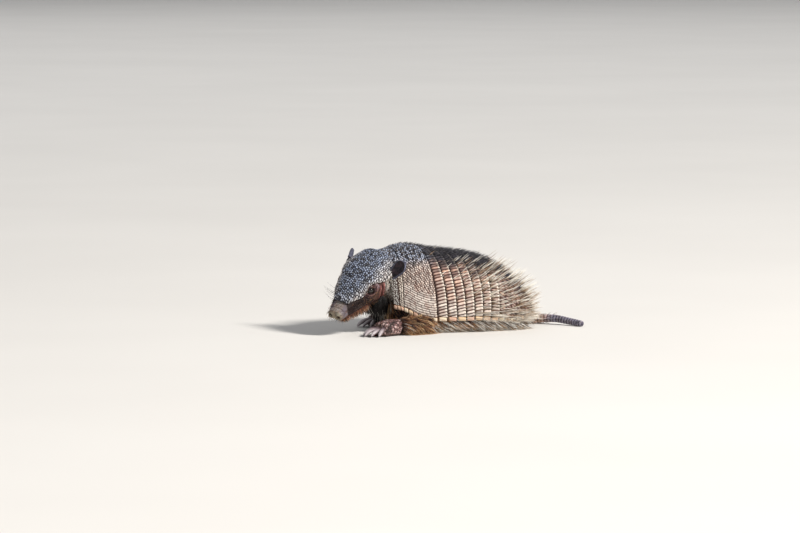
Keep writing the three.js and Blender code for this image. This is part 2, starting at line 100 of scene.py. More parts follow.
# %% Small curves
def lerp(start, end, t):
    return start + (end - start) * t


def smooth(x, low, high):
    t = np.clip((x - low) / (high - low), 0, 1)
    return t * t * (3 - 2 * t)


def bump(x, width):
    return np.exp(-((x / width) ** 2))


def fall(t, power):
    return np.maximum(0, 1 - np.minimum(1, np.abs(t)) ** power) ** (1 / power)


def signed_power(x, power):
    return np.sign(x) * np.abs(x) ** power


def unit(vectors):
    return vectors / np.maximum(np.linalg.norm(vectors, axis=-1, keepdims=True), 1e-12)


def chance(a, b, seed):
    """A repeatable number from 0 to 1 for a pair of whole numbers."""
    value = np.sin(a * 127.1 + b * 311.7 + seed * 74.7) * 43758.5453
    return value - np.floor(value)


# %% [markdown]
# The trunk is drawn in millimetres along its own Y, from the nape at 0 to the rump at 203, with the same
# curves as the solids: plan outline, line of the back, widest line and belly. A point on it is a station
# and an angle round from the top. The trunk node's rear end says where that drawing lies in the frame.

# %% Trunk
MM = 0.001
LENGTH = 203
SHIFT = np.array([
    500 * (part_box("band_7")[0].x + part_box("band_7")[1].x),
    1000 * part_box("trunk")[1].y - LENGTH,
    0,
])


def half_width(y):
    forward = y < 122
    t = (y - 122) / np.where(forward, 128, 81)
    return 73 * np.where(forward, fall(t, 2), fall(t, 2.25))


def middle(y):
    return 8 * (1 - smooth(y, -20, 85))


def wide_line(y):
    return 35 - 17 * smooth(y, 110, LENGTH)


def back_line(y):
    forward = y < 56
    t = np.minimum(1, np.abs(y - 56) / np.where(forward, 126, 147))
    shape = np.where(forward, (1 - t**2.2) ** 0.45, (1 - t**3.2) ** 0.85)
    foot = np.where(forward, 35, 18)
    return foot + (94 - foot) * shape + 9.5 * bump(y - 34, 34)


def belly(y):
    chest = 1 - 0.45 * smooth(-y, -45, 0)
    rear = 1 - 0.55 * smooth(y, 160, LENGTH)
    return (wide_line(y) + 1.2) * chest * rear


def trunk_surface(y, angle):
    up = np.cos(angle) >= 0
    power = np.where(up, 2 / 2.3, 2 / 2.9)
    high = np.where(up, np.maximum(0, back_line(y) - wide_line(y)), belly(y))
    x = middle(y) + half_width(y) * signed_power(np.sin(angle), power)
    return np.stack([x, y + 0 * x, wide_line(y) + high * signed_power(np.cos(angle), power)], -1)


def raised(surface, along, angle, distance):
    """Points at a distance outside a surface, and the surface's normals there."""
    along, angle, distance = np.broadcast_arrays(*[np.asarray(a, float) for a in (along, angle, distance)])
    step = 0.02
    side = surface(along, angle + step) - surface(along, angle - step)
    length = surface(along + step * 20, angle) - surface(along - step * 20, angle)
    normal = unit(np.cross(side, length))
    inward = normal[..., 0] * np.sin(angle) + normal[..., 2] * np.cos(angle) < 0
    normal = np.where(inward[..., None], -normal, normal)
    return surface(along, angle) + normal * distance[..., None], normal


print("shift in mm", SHIFT.round(2))

# %% [markdown]
# The head has a drawing of its own, with the nape at 0 and the nose towards -Y. Its sizes are given at a
# few stations and a smooth curve runs through them. The head is lowered, turned to the animal's left and
# tilted, so a rotation carries points from the head's drawing to the body's, and its inverse carries them
# back.

# %% Head
# distance in front of the occiput, half-width, height above and below the axis, rise of the axis
HEAD_STATIONS = np.array([
    [-14, 21, 16, 17, -1],
    [-5, 26.5, 20.5, 23, 0],
    [10, 30.5, 22.5, 27, 0],
    [24, 30.5, 22, 28, 0],
    [42, 26, 18.5, 27, -1],
    [60, 19.5, 13.5, 23, -3],
    [74, 14.6, 10, 16, -5],
    [84, 11.8, 7.8, 10.5, -6.5],
    [91, 10, 6.2, 6.8, -7.5],
])
HEAD_TURN = (
    Matrix.Rotation(math.radians(25.3), 3, "Z")
    @ Matrix.Rotation(math.radians(30.5), 3, "X")
    @ Matrix.Rotation(math.radians(17.7), 3, "Y")
)
TURN = np.array(HEAD_TURN)
HEAD_PLACE = np.array([11.5, -4.8, 77.2])


def spline(stations, count):
    """Points of a smooth curve through the stations."""
    ends = [2 * stations[0] - stations[1], 2 * stations[-1] - stations[-2]]
    p = np.vstack([ends[0], stations, ends[1]])
    t = np.linspace(0, len(stations) - 1, count)
    i = np.minimum(t.astype(int), len(stations) - 2)
    w = (t - i)[:, None]
    a, b, c, d = p[i], p[i + 1], p[i + 2], p[i + 3]
    leave, arrive = (c - a) / 2, (d - b) / 2
    return b + leave * w + (3 * (c - b) - 2 * leave - arrive) * w**2 + (2 * (b - c) + leave + arrive) * w**3


HEAD_TABLE = spline(HEAD_STATIONS, 800)
CROWN_POWER = 2.35  # of the superellipse that the crown is; the head is elliptical below


def head_sizes(distance):
    """The half-width, the heights above and below the axis and the rise of the axis at a distance."""
    return [np.interp(distance, HEAD_TABLE[:, 0], HEAD_TABLE[:, k]) for k in (1, 2, 3, 4)]


def head_surface(y, angle):
    half, over, under, rise = head_sizes(-y)
    up = np.cos(angle) >= 0
    power = np.where(up, 2 / CROWN_POWER, 1)
    x = half * signed_power(np.sin(angle), power)
    return np.stack([x, y + 0 * x, rise + np.where(up, over, under) * signed_power(np.cos(angle), power)], -1)


def from_head(points):
    return points @ TURN.T + HEAD_PLACE


def to_head(points):
    return (points - HEAD_PLACE) @ TURN


NOSE_TIP = np.array([0, -92.0, -7.5])
print("nose tip at", (from_head(NOSE_TIP) + SHIFT).round(1), "mm")

# %% [markdown]
# A finish is a tree of shader nodes. Wrapping a socket in a small class lets sums on values be written as
# sums: each operator adds one Math node. Any other node comes from the method node, which takes the node's
# type, its settings and what its sockets get. Colours go through a Mix node, because a Math node would turn
# them grey.

# %% Finishes
class Value:
    """A socket of a finish, which can be used in sums."""

    def __init__(self, finish, socket):
        self.finish = finish
        self.socket = socket

    def sum(self, operation, first, second):
        return self.finish.node("ShaderNodeMath", {"operation": operation}, {0: first, 1: second})

    def __add__(self, other):
        return self.sum("ADD", self, other)

    __radd__ = __add__

    def __sub__(self, other):
        return self.sum("SUBTRACT", self, other)

    def __rsub__(self, other):
        return self.sum("SUBTRACT", other, self)

    def __mul__(self, other):
        return self.sum("MULTIPLY", self, other)

    __rmul__ = __mul__


class Finish:
    """A material with a Principled shader. Colours are given as screen colours from 0 to 255."""

    def __init__(self, name, roughness=0.6, specular=0.5, **constants):
        self.material = bpy.data.materials.new(name)
        self.material.use_nodes = True
        self.tree = self.material.node_tree
        self.tree.nodes.clear()
        self.shader = self.tree.nodes.new("ShaderNodeBsdfPrincipled")
        out = self.tree.nodes.new("ShaderNodeOutputMaterial")
        self.tree.links.new(self.shader.outputs[0], out.inputs[0])
        self.shader.inputs["Roughness"].default_value = roughness
        self.shader.inputs["Specular IOR Level"].default_value = specular
        for socket, value in constants.items():
            self.shader.inputs[socket.replace("_", " ")].default_value = value

    def feed(self, socket, value):
        if isinstance(value, Value):
            self.tree.links.new(value.socket, socket)
        elif isinstance(value, tuple) and socket.type == "RGBA":
            socket.default_value = linear(value)
        else:
            socket.default_value = value

    def node(self, kind, settings=None, inputs=None, output=0):
        made = self.tree.nodes.new(kind)
        for setting, value in (settings or {}).items():
            setattr(made, setting, value)
        for socket, value in (inputs or {}).items():
            self.feed(made.inputs[socket], value)
        return Value(self, made.outputs[output])

    def attribute(self, name, output="Fac"):
        return self.node("ShaderNodeAttribute", {"attribute_name": name}, output=output)

    def layers(self, *names):
        return [self.attribute(name) for name in names]

    def place(self):
        return self.node("ShaderNodeTexCoord", output="Object")

    def noise(self, scale, detail=3, roughness=0.6, where=None):
        sockets = {"Vector": where or self.place(), "Scale": scale, "Detail": detail, "Roughness": roughness}
        return self.node("ShaderNodeTexNoise", None, sockets)

    def cells(self, scale):
        return self.node("ShaderNodeTexVoronoi", None, {"Vector": self.place(), "Scale": scale}, "Distance")

    def step(self, value, low, high, start=0.0, end=1.0):
        """A soft step: start below low, end above high."""
        sockets = {"Value": value, "From Min": low, "From Max": high, "To Min": start, "To Max": end}
        return self.node("ShaderNodeMapRange", {"interpolation_type": "SMOOTHSTEP"}, sockets)

    def mix(self, factor, first, second, blend="MIX"):
        settings = {"data_type": "RGBA", "blend_type": blend, "clamp_factor": True}
        return self.node("ShaderNodeMix", settings, {0: factor, 6: first, 7: second}, 2)

    def tint(self, colour, by):
        """A colour multiplied by another."""
        return self.mix(1.0, colour, by, "MULTIPLY")

    def bump(self, height, distance, strength):
        """A normal that follows a height, in metres."""
        sockets = {"Height": height, "Distance": distance, "Strength": strength}
        return self.node("ShaderNodeBump", None, sockets)

    def set(self, **sockets):
        for name, value in sockets.items():
            self.feed(self.shader.inputs[name.replace("_", " ")], value)
        return self.material


def linear(colour):
    """A screen colour from 0 to 255 as the linear colour that shaders work in."""
    share = np.array(colour) / 255
    values = np.where(share <= 0.04045, share / 12.92, ((share + 0.055) / 1.055) ** 2.4)
    return (*values.tolist(), 1.0)


print("helpers ready")

# %% [markdown]
# Every shell here is a woven sheet: a grid of quads from Blender's own grid operator, whose rows are laid
# over a form by numbers and whose last row meets the first again. Merging the doubles closes that seam and
# any pole, and filling the holes closes what ends are left, so the piece is one closed body with its faces
# outwards.

# %% Woven sheets
TOUCHING = 2e-6  # metres within which points are merged


def read_points(mesh):
    values = np.empty(len(mesh.vertices) * 3)
    mesh.vertices.foreach_get("co", values)
    return values.reshape(-1, 3) / MM - SHIFT


def write_points(mesh, points):
    mesh.vertices.foreach_set("co", ((points + SHIFT) * MM).ravel())
    mesh.update()


def add_layer(mesh, name, values):
    """Keeps one number for each point of a mesh, which its finish can read."""
    mesh.attributes.new(name, "FLOAT", "POINT").data.foreach_set("value", values)


def shade_smooth(mesh):
    mesh.polygons.foreach_set("use_smooth", [True] * len(mesh.polygons))


def closed(outer, inner, layers):
    """A shell's outer and inner faces as one sheet that meets itself, and its layers, which are 0 inside."""
    pad = np.zeros(inner.shape[:2])
    layers = {name: np.concatenate([grid, pad, grid[:, :1]], 1) for name, grid in layers.items()}
    return np.concatenate([outer, inner, outer[:, :1]], 1), layers


def cover(name, points, layers, sharp=60):
    """A closed mesh from points[along, round, 3] in body millimetres, with layers of one value a point.

    Edges that turn by more than sharp degrees stay sharp.
    """
    along, round_ = points.shape[0] - 1, points.shape[1] - 1
    bm = bmesh.new()
    bmesh.ops.create_grid(bm, x_segments=along, y_segments=round_, size=1)
    mesh = bpy.data.meshes.new(name)
    bm.to_mesh(mesh)
    write_points(mesh, points.transpose(1, 0, 2))
    for layer, values in layers.items():
        add_layer(mesh, layer, values.T.ravel())
    bm.clear()
    bm.from_mesh(mesh)
    bmesh.ops.remove_doubles(bm, verts=bm.verts, dist=TOUCHING)
    filled = bmesh.ops.holes_fill(bm, edges=[e for e in bm.edges if e.is_boundary])
    bmesh.ops.triangulate(bm, faces=filled["faces"])
    bmesh.ops.recalc_face_normals(bm, faces=bm.faces)
    bm.to_mesh(mesh)
    bm.free()
    shade_smooth(mesh)
    mesh.set_sharp_from_angle(angle=math.radians(sharp))
    return mesh


def piece(name, mesh, material, slot, *nodes):
    """Shows a mesh as a piece of the animal, in place of these nodes of the frame."""
    made = show(name, mesh)
    mesh.materials.clear()
    mesh.materials.append(material)
    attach(made, "root")
    if nodes:
        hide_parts(*nodes)
    mesh.calc_loop_triangles()
    print(f"{name}: {len(mesh.loop_triangles)} triangles")
    return made


# %% [markdown]
# Scutes are horny tiles, each domed, with a dark seam round it. They lie in rows. A jittered lattice gives
# their centres, and each point of a plate belongs to the centre nearest to it when distances are measured
# in pitches across the rows and lengths along them, so round granules and long bars come from one function.
# The difference between the two nearest centres is 0 in a seam and grows towards a scute's middle.

# %% Scutes
def scutes(across, along, pitch, length, loose, seed, rows=(-1, 0, 1), bond=False):
    """Returns how far each point is from its scute's seam, from its middle, and the scute's own chance.

    A scute is one pitch wide across the rows and one length long along them, and loose says how far its
    middle may stray. With bond, the rows are offset by half a scute in turn, as bricks are. Otherwise each
    has its own offset.
    """
    nearest = np.full(across.shape, 9.0)
    second = nearest.copy()
    own = np.zeros(across.shape)
    first_row = np.round(across / pitch) if len(rows) > 1 else np.zeros(across.shape)
    for step in rows:
        row = first_row + step
        start = 0.5 * (row % 2) if bond else chance(row, 0, seed)
        first_column = np.round(along / length - start)
        for column in (first_column - 1, first_column, first_column + 1):
            at_across = (row + loose * (chance(row, column, seed + 1) - 0.5)) * pitch
            at_along = (column + start + loose * (chance(row, column, seed + 2) - 0.5)) * length
            apart = np.hypot((across - at_across) / pitch, (along - at_along) / length)
            closer = apart < nearest
            second = np.where(closer, nearest, np.minimum(second, apart))
            own = np.where(closer, chance(row, column, seed + 3), own)
            nearest = np.where(closer, apart, nearest)
    return second - nearest, nearest, own


def ridges(across, along, pitch, long, seed):
    """Long scutes side by side: how far each point is from a seam, in pitches, and the scute's own chance."""
    wave = across + 0.25 * np.sin(along * 0.3 + across * 0.12)
    row = np.round(wave / pitch)
    place = along / long + chance(row, 0, seed)
    column = np.floor(place)
    ends = np.minimum(place - column, column + 1 - place) * long
    sides = (0.5 - np.abs(wave / pitch - row)) * pitch
    return 2 * np.minimum(sides, 1.2 * ends) / pitch, chance(row, column, seed + 3)


def dome(seam, centre, crisp=0.4):
    """A scute's height from 0 in its seam to 1: steep at the edge, gently domed on top."""
    return smooth(seam, 0.02, crisp) * (1 - 0.3 * np.minimum(1, centre * 1.6) ** 2)


def paces(points, axis):
    """Distance travelled along one axis of a grid of points."""
    steps = np.linalg.norm(np.diff(points, axis=axis), axis=-1)
    start = np.zeros_like(np.take(steps, [0], axis=axis))
    return np.concatenate([start, np.cumsum(steps, axis=axis)], axis=axis)


# %% [markdown]
# The armour of the trunk is ten plates on the trunk's surface. Each one is drawn by u, from -1 at the right
# margin to 1 at the left, and v, from its front edge to its rear. A band starts low, under the band before
# it, and its rear edge stands over the next one, which is what lets the real animal bend.

# %% Plates of the trunk
UNDER = 1.1  # clearance under the plates
PITCH = 12.2  # of the bands
SHOULDER_REAR = 49.5
BANDS = 7
GAP = 0.35  # between one plate and the next
RUMP_ROW = 9.2  # pitch of the rows of scutes on the rump
NAPE_HUMP = 3.4  # how far the nape rises towards the head
RUMP_FRONT = SHOULDER_REAR + BANDS * PITCH


def margin_angle(y):
    return np.radians(113 - 17 * bump(y - 8, 24) - 13 * smooth(y, 150, 206))


def margin_curve(y, share):
    """How far the plates sweep back at the margin, or at a share of the way there."""
    return 8 * share * smooth(y, 15, 55) * (1 - smooth(y, 60, 150))


class Plate:
    """One plate of the trunk's armour.

    Bow is how far its middle juts forward, and lift is how much thicker it is at its rear.
    """

    def __init__(self, name, front, rear, thick, lift=0.0, bow=0.0, kind="band"):
        self.name, self.front, self.rear = name, front, rear
        self.thick, self.lift, self.bow, self.kind = thick, lift, bow, kind

    def station(self, u, v):
        """The station and angle of a place on the plate."""
        if self.kind == "rump":
            v = np.sin(v * np.pi / 2) ** 0.92
        base = lerp(self.front - self.bow * (1 - u * u), self.rear, v)
        y = base + margin_curve(base, u**2)
        return y, u * margin_angle(y)

    def outside(self, u, v):
        """The height of the plate's smooth outer face over the trunk."""
        thick = self.thick * (1 - 0.35 * np.abs(u) ** 6) + self.lift * v
        thick = thick + NAPE_HUMP * (self.kind == "nape") * smooth(np.abs(u), 0.5, 0.05) * smooth(v, 1.1, 0.1)
        front = smooth(v, -0.06, 0.16 if self.kind == "band" else 0.03)
        low = 0.35 if self.kind == "band" else 0.6
        rear = 1 - 0.3 * smooth(v, 0.93, 1.02) * (self.kind != "rump")
        side = 1 - 0.45 * smooth(np.abs(u), 0.985, 1.0)
        return UNDER + (thick - UNDER) * lerp(low, 1, front) * rear * side


PLATES = [
    Plate("nuchal_band", 9, 18 - GAP, 3.2, 1.0, 6.0, "nape"),
    Plate("scapular_shield", 18, SHOULDER_REAR - GAP, 4.2, 0.8, 0.0, "shoulder"),
    *[
        Plate(f"band_{i + 1}", SHOULDER_REAR + i * PITCH, SHOULDER_REAR + (i + 1) * PITCH - GAP, 3.2, 1.4)
        for i in range(BANDS)
    ],
    Plate("pelvic_shield", RUMP_FRONT, 201, 4.2, 0.0, 0.0, "rump"),
]
print("plates:", [p.name for p in PLATES])

# %% [markdown]
# The relief differs from plate to plate. The shoulders have round granules above, and long ridges parallel
# to the margin low down. A band is one row of bars that run its full width. The rump repeats such rows. A
# row of larger blocks, cream and orange, makes the margin all round. The same numbers later colour the
# plates, so they are kept as layers of the mesh. rise is a scute's height, own its chance and margin the
# row of blocks. crown is the blue-grey of the back, partly the horn's own dark colour and partly painted
# shade, blue as if lit by the sky, and another layer marks its darkest part, from the bands back, with
# more painted shade. deep is the red-brown below the crown, hem a plate's pale rear edge, ash the pale
# front of the nape's sides, and dusk the shade under the plate in front.

# %% Relief of the plates
GRAIN = 0.5  # spacing of the grid on the plates
INNER_GRAIN = 6  # spacing of the rows on their inner faces
SAMPLES = 400  # points along a plate that its length is measured with
MARGIN_ROW = {"nape": 5.8, "shoulder": 6.0, "band": 6.4, "rump": 6.4}  # width of the blocks at the margin
BLOCK = {"nape": 4.6, "shoulder": 6.4, "band": PITCH, "rump": RUMP_ROW}  # their length along it
CRISP = {"nape": 0.46, "shoulder": 0.5, "band": 0.58, "rump": 0.52}  # where a scute's slope ends
BAR = 4.0  # width of a band's scutes
ARC = 5.6  # spacing of the grooves that run round the shoulders
RIDGED = 36  # width of the long ridges above the margin of the shoulders
RELIEF = 0.62  # height of a scute


def pattern(plate, v, across, along, from_margin):
    """The scutes of a plate: how far points are from a seam and from a middle, and the scutes' chances."""
    if plate.kind == "nape":
        return scutes(across, along, 2.45, 2.9, 0.62, 11)
    if plate.kind == "shoulder":
        seam, centre, own = scutes(across, along, 2.45, 2.9, 0.38, 3, bond=True)
        low = from_margin + 2.5 * np.sin(along * 0.4) < RIDGED
        long_seam, long_own = ridges(from_margin, along, 2.9, 9, 19)
        return np.where(low, long_seam, seam), np.where(low, 0, centre), np.where(low, 0.72 * long_own, own)
    if plate.kind == "band":
        seam, centre, own = scutes(0 * across, across, 1, BAR, 0.36, plate.front, rows=(0,))
        return seam * lerp(0.9, 0.55, smooth(v, 0.5, 0.1)), centre, own
    return scutes(along - RUMP_ROW / 2, across, RUMP_ROW, BAR, 0.24, 8)


def relief(plate, u, v, base):
    """Height of the scutes over the plate's smooth face, and the layers for its finish."""
    across = paces(base, 0)
    half = across[-1:, :] / 2
    across = across - half
    along = paces(base, 1)
    length = along[:, -1:]
    from_margin = half - np.abs(across)
    seam, centre, own = pattern(plate, v, across, along, from_margin)
    row, block = MARGIN_ROW[plate.kind], BLOCK[plate.kind]
    block_seam, _, block_own = scutes(
        0 * along, along - block / 2, 1, block, 0.1, round(5 + plate.front), rows=(0,), bond=True
    )
    in_margin = smooth(from_margin, row + 0.3, row - 0.3)
    top_seam = np.abs(from_margin - row) / 2
    height = dome(seam, centre, CRISP[plate.kind])
    across_block = bump(from_margin - 0.45 * row, 0.5 * row)
    block_height = 1.7 * smooth(block_seam, 0.0, 0.4) * (0.45 + 0.55 * across_block)
    rise = lerp(height, block_height, in_margin) * smooth(top_seam, 0, 0.35)
    if plate.kind == "rump":
        rise = rise * (0.55 + 0.45 * smooth(np.abs(along / RUMP_ROW % 1 - 0.02), 0.0, 0.14))
    if plate.kind == "shoulder":
        arc = bump((along / ARC + 0.5) % 1 - 0.5, 0.11) * smooth(from_margin, RIDGED, RIDGED + 6)
        rise = rise * (1 - 0.6 * arc * (1 - in_margin))
    is_band, is_rump = plate.kind == "band", plate.kind == "rump"
    collar = (plate.kind == "nape") * smooth(np.abs(u), 0.3, 0.42) * (1 - in_margin)
    rise = rise * (1 - collar * bump(v - 0.6, 0.05))
    rise = rise * (1 - collar * 0.25 * smooth(v, 0.6, 0.55))
    ends = smooth(np.minimum(along, length - along), 0.0, 0.9)
    y = base[..., 1]
    below = back_line(y) + 4 - base[..., 2]
    ragged = 2.5 * np.sin(across * 0.21 + 2) + 1.5 * np.sin(across * 0.47 + y * 0.2) + 9 * (own - 0.5)
    deep = smooth(below + ragged, 78, 44) * (0.12 + 0.88 * smooth(y, 46, 54))
    layers = {
        "rise": rise * lerp(0.4, 1, ends),
        "own": lerp(own, block_own, in_margin),
        "margin": in_margin,
        "crown": smooth(below + ragged, 32, 10),
        "deep": 1 - 0.25 * smooth(below, 30, 75) if is_rump else deep,
        "dark_top_and_shade": smooth(below + ragged, 44, 22) * smooth(y, 47, 58),
        "hem": smooth(v, 0.72, 0.9) * is_band
        + 0.35 * smooth(v, 0.9, 0.97) * (plate.kind == "shoulder")
        + smooth(v, 0.6, 0.68) * collar,
        "ash": smooth(v, 0.62, 0.56) * collar,
        "dusk": smooth(v, 0.26, 0.06) * is_band + 0.45 * is_rump * (1 - in_margin),
    }
    return RELIEF * (layers["rise"] - 0.5), layers


def weave_plate(plate):
    """A plate as a closed sheet. Its columns are spaced evenly along it, so that no scute is smeared."""
    fine = np.linspace(-1, 1, SAMPLES)
    travel = paces(raised(trunk_surface, *plate.station(fine, 0.5), 3)[0], 0)
    deep = paces(raised(trunk_surface, *plate.station(0.8, np.linspace(0, 1, 60)), 3)[0], 0)[-1]
    columns, rows, inner_rows = int(travel[-1] / GRAIN), int(deep / GRAIN), max(3, int(deep / INNER_GRAIN))
    even = np.interp(np.linspace(0, travel[-1], columns), travel, fine)
    u, v = np.meshgrid(even, np.linspace(0, 1, rows), indexing="ij")
    y, angle = plate.station(u, v)
    smooth_face = plate.outside(u, v)
    base, normal = raised(trunk_surface, y, angle, smooth_face)
    height, layers = relief(plate, u, v, base)
    outer = base + normal * height[..., None]
    u_in, v_in = np.meshgrid(even, np.linspace(1, 0, inner_rows), indexing="ij")
    inner = raised(trunk_surface, *plate.station(u_in, v_in), UNDER)[0]
    return cover(plate.name + "_scutes", *closed(outer, inner, layers))


# %% [markdown]
# The horn is dark slate along the back, partly its own colour and partly painted shade, blue as if lit by
# the sky, and warm grey-beige on the flanks, with rust-brown in the seams and cream blocks at the margin.
# The tops of the scutes carry a painted highlight. Four noises mottle, stain, streak and pit it, from a
# centimetre down to less than a millimetre. Each scute is lighter or darker by its own chance. The seams
# are dark because dust and shade gather in them.

# %% Armour finish
def armour_finish():
    f = Finish("scute_horn", specular=0.28)
    rise, own, margin, crown, hem = f.layers("rise", "own", "margin", "crown", "hem")
    dusk, deep, ash, dark_top_and_shade = f.layers("dusk", "deep", "ash", "dark_top_and_shade")
    mottle = f.noise(110, 4)
    grain = f.noise(1400, 3)
    streak = f.noise(420, 2)
    stain = f.noise(330, 3)
    warm = f.mix(own, (144, 132, 126), (242, 230, 219))
    tan = f.step(own, 0.68, 0.8) * f.step(own, 0.96, 0.88) * (0.1 + deep * 0.7)
    warm = f.mix(deep * 0.85, warm, f.mix(own, (86, 52, 45), (186, 138, 118)))
    warm = f.mix(tan, warm, (222, 172, 142))
    warm = f.mix(f.step(mottle, 0.5, 0.66) * 0.6, warm, (156, 116, 101))
    warm = f.mix(f.step(stain, 0.52, 0.68) * 0.5, warm, (132, 88, 70))
    warm = f.mix(ash, warm, f.mix(own, (192, 190, 184), (246, 244, 238)))
    # Painted shade: the blue-grey of the back is partly the horn's own colour and partly shade, blue as from
    # the sky, and darkest from the bands back.
    cool = f.mix(f.step(own, 0.25, 0.75), (16, 20, 36), (154, 166, 190))
    cool = f.mix(dark_top_and_shade, cool, f.mix(own, (8, 8, 18), (36, 39, 56)))
    colour = f.mix(crown, warm, cool)
    worn = 0.35 + 0.65 * f.step(streak, 0.35, 0.6)
    colour = f.mix(hem * worn * (1 - crown * 0.85), colour, (236, 225, 210))
    cream = f.mix(f.step(own, 0.1, 0.5), (246, 230, 196), (234, 194, 138))
    cream = f.mix(f.step(own, 0.6, 0.85), cream, (220, 160, 124))
    cream = f.mix(f.step(mottle, 0.46, 0.66) * 0.7, cream, (190, 132, 92))
    colour = f.mix(margin * (1 - crown), colour, cream)
    colour = f.mix(f.step(grain, 0.35, 0.75) * 0.35, colour, (92, 70, 60))
    # Painted highlight: the tops of the scutes are lightened, less where the back is darkest.
    top = f.mix(0.5, colour, (255, 248, 238))
    colour = f.mix(f.step(rise, 0.72, 1.02) * (0.55 - dark_top_and_shade * 0.5), colour, top)
    seam = f.mix(crown, (62, 38, 31), (10, 10, 17))
    colour = f.mix(f.step(rise, 0.64, 0.16), colour, seam)
    colour = f.mix(dusk * 0.85, colour, f.mix(crown, (66, 50, 46), (26, 27, 36)))
    rough = 0.5 + f.step(grain, 0.3, 0.8) * 0.22 + (1 - rise) * 0.15
    height = grain * 0.5 + streak * 0.6
    return f.set(Base_Color=colour, Roughness=rough, Normal=f.bump(height, 0.00035, 0.7))


ARMOUR = armour_finish()
for plate in PLATES:
    piece(plate.name + "_scutes", weave_plate(plate), ARMOUR, "armour", plate.name)

# %% [markdown]
# The head shield is one plate of small granules that fit together like paving. It covers the crown from the
# nape to the bridge of the nose, and its edge makes a brow over each eye. It is woven like the plates of
# the trunk, on the head's own surface. By the ears the granules are larger and paler.

# %% Head shield
EYE_AT = 43
SHIELD_FRONT, SHIELD_REAR = 74, -4
SHIELD_THICK = 2.6
GRANULE = 0.56  # height of a granule


def shield_angle(distance):
    return np.radians(74 - 24 * bump(distance - EYE_AT + 2, 14) - 34 * smooth(distance, 52, 76))


def shield_station(u, v):
    bow = 7 * (1 - u * u)
    distance = lerp(SHIELD_REAR - bow, SHIELD_FRONT + 0.3 * bow, v)
    return distance, u * shield_angle(distance)


def weave_head_shield():
    u, v = np.meshgrid(np.linspace(-1, 1, 190), np.linspace(0, 1, 215), indexing="ij")
    distance, angle = shield_station(u, v)
    edge = np.minimum(smooth(1 - np.abs(u), -0.004, 0.03), smooth(np.minimum(v, 1 - v), -0.004, 0.02))
    hump = 0.7 * NAPE_HUMP * smooth(np.abs(u), 0.75, 0.2) * smooth(v, 0.2, 0)
    thick = SHIELD_THICK * (1 - 0.25 * np.abs(u) ** 6) + hump
    face = UNDER + (thick - UNDER) * (0.45 + 0.55 * edge)
    base, normal = raised(head_surface, -distance, angle, face)
    across = paces(base, 0)
    across = across - across[-1:] / 2
    along = paces(base, 1)
    by_ear = smooth(np.abs(u), 0.66, 0.96) * smooth(distance, 36, 14)
    small = scutes(across, along, 2.8, 2.9, 0.7, 21)
    large = scutes(across, along, 4.7, 5.0, 0.5, 22)
    seam, centre, own = [np.where(by_ear > 0.45, big, little) for big, little in zip(large, small)]
    rise = dome(seam, centre, 0.6) * (0.55 + 0.45 * edge)
    outer = base + normal * (GRANULE * (rise - 0.45))[..., None]
    distance_in, angle_in = shield_station(*np.meshgrid(u[:, 0], np.linspace(1, 0, 16), indexing="ij"))
    inner = raised(head_surface, -distance_in, angle_in, UNDER)[0]
    degrees = np.degrees(angle)
    ragged = 5 * np.sin(distance * 0.13) + 3 * np.sin(distance * 0.31 + 1)
    layers = {
        "rise": rise,
        "own": own,
        "crown": smooth(np.abs(degrees) + ragged, 56, 24) * (0.5 + 0.5 * smooth(distance, 84, 58)),
        "pale": np.maximum(by_ear, 0.75 * smooth(np.abs(u), 0.8, 1.0)),
    }
    points, layers = closed(outer, inner, layers)
    return cover("head_shield_scutes", from_head(points), layers)


def slate_finish():
    f = Finish("slate_horn", specular=0.45)
    rise, own, crown, pale = f.layers("rise", "own", "crown", "pale")
    mottle = f.noise(160, 4)
    grain = f.noise(1700, 3)
    warm = f.mix(f.step(own, 0.1, 0.9), (98, 94, 98), (218, 212, 210))
    warm = f.mix(f.step(mottle, 0.5, 0.68) * 0.6, warm, (146, 124, 116))
    # Painted shade: the crown's dark blue-grey is partly the shield's own colour and partly shade, blue as
    # from the sky.
    cool = f.mix(f.step(own, 0.15, 0.85), (13, 18, 34), (132, 144, 170))
    colour = f.mix(crown, warm, cool)
    colour = f.mix(pale * 0.8, colour, f.mix(own, (176, 166, 158), (222, 212, 204)))
    # Painted highlight on the tops of the granules, weaker on the crown.
    colour = f.mix(f.step(rise, 0.72, 1.0) * (0.46 - crown * 0.14), colour, (226, 229, 234))
    colour = f.mix(f.step(grain, 0.4, 0.8) * 0.3, colour, (50, 46, 52))
    colour = f.mix(f.step(rise, 0.6, 0.16) * 0.96, colour, (14, 14, 21))
    rough = 0.42 + f.step(grain, 0.3, 0.8) * 0.25 + (1 - rise) * 0.2
    return f.set(Base_Color=colour, Roughness=rough, Normal=f.bump(grain, 0.0003, 0.7))


piece("head_shield_scutes", weave_head_shield(), slate_finish(), "head_armour", "head_shield")

# %% [markdown]
# An ear is a leaf of granular skin, rolled into a funnel at its root and open towards its rounded tip. Its
# two faces are woven with one loop of rows, out over the back of the leaf and home down its inside. The rim
# is rolled a little, low folds run up the inside, and fine granules cover the back.

# %% Ears
SIDE_NAMES = {1: "left", -1: "right"}
EAR_LENGTH, EAR_WIDTH = {1: 26.5, -1: 23.0}, 20
EAR_CURL = {1: 3.0, -1: 0.8}  # how far the tip bends towards the mouth
EAR_THICK = 1.4, 0.8  # at the root and the tip
EAR_ROLL = 95, 45  # half the angle it is rolled through there, in degrees
EAR_GRANULE = 1.5  # size of its granules
EAR_RELIEF = 0.16  # and their height
EAR_ROOT = np.array([31, -6.5, 6.5])
EAR_MOUTH = {1: np.array([0.06, -0.545, 0.685]), -1: np.array([-0.3, -0.8, 0.3])}
EAR_WAY = {1: np.array([0.51, 0.55, 0.665]), -1: np.array([-0.42, 0.9, -0.14])}


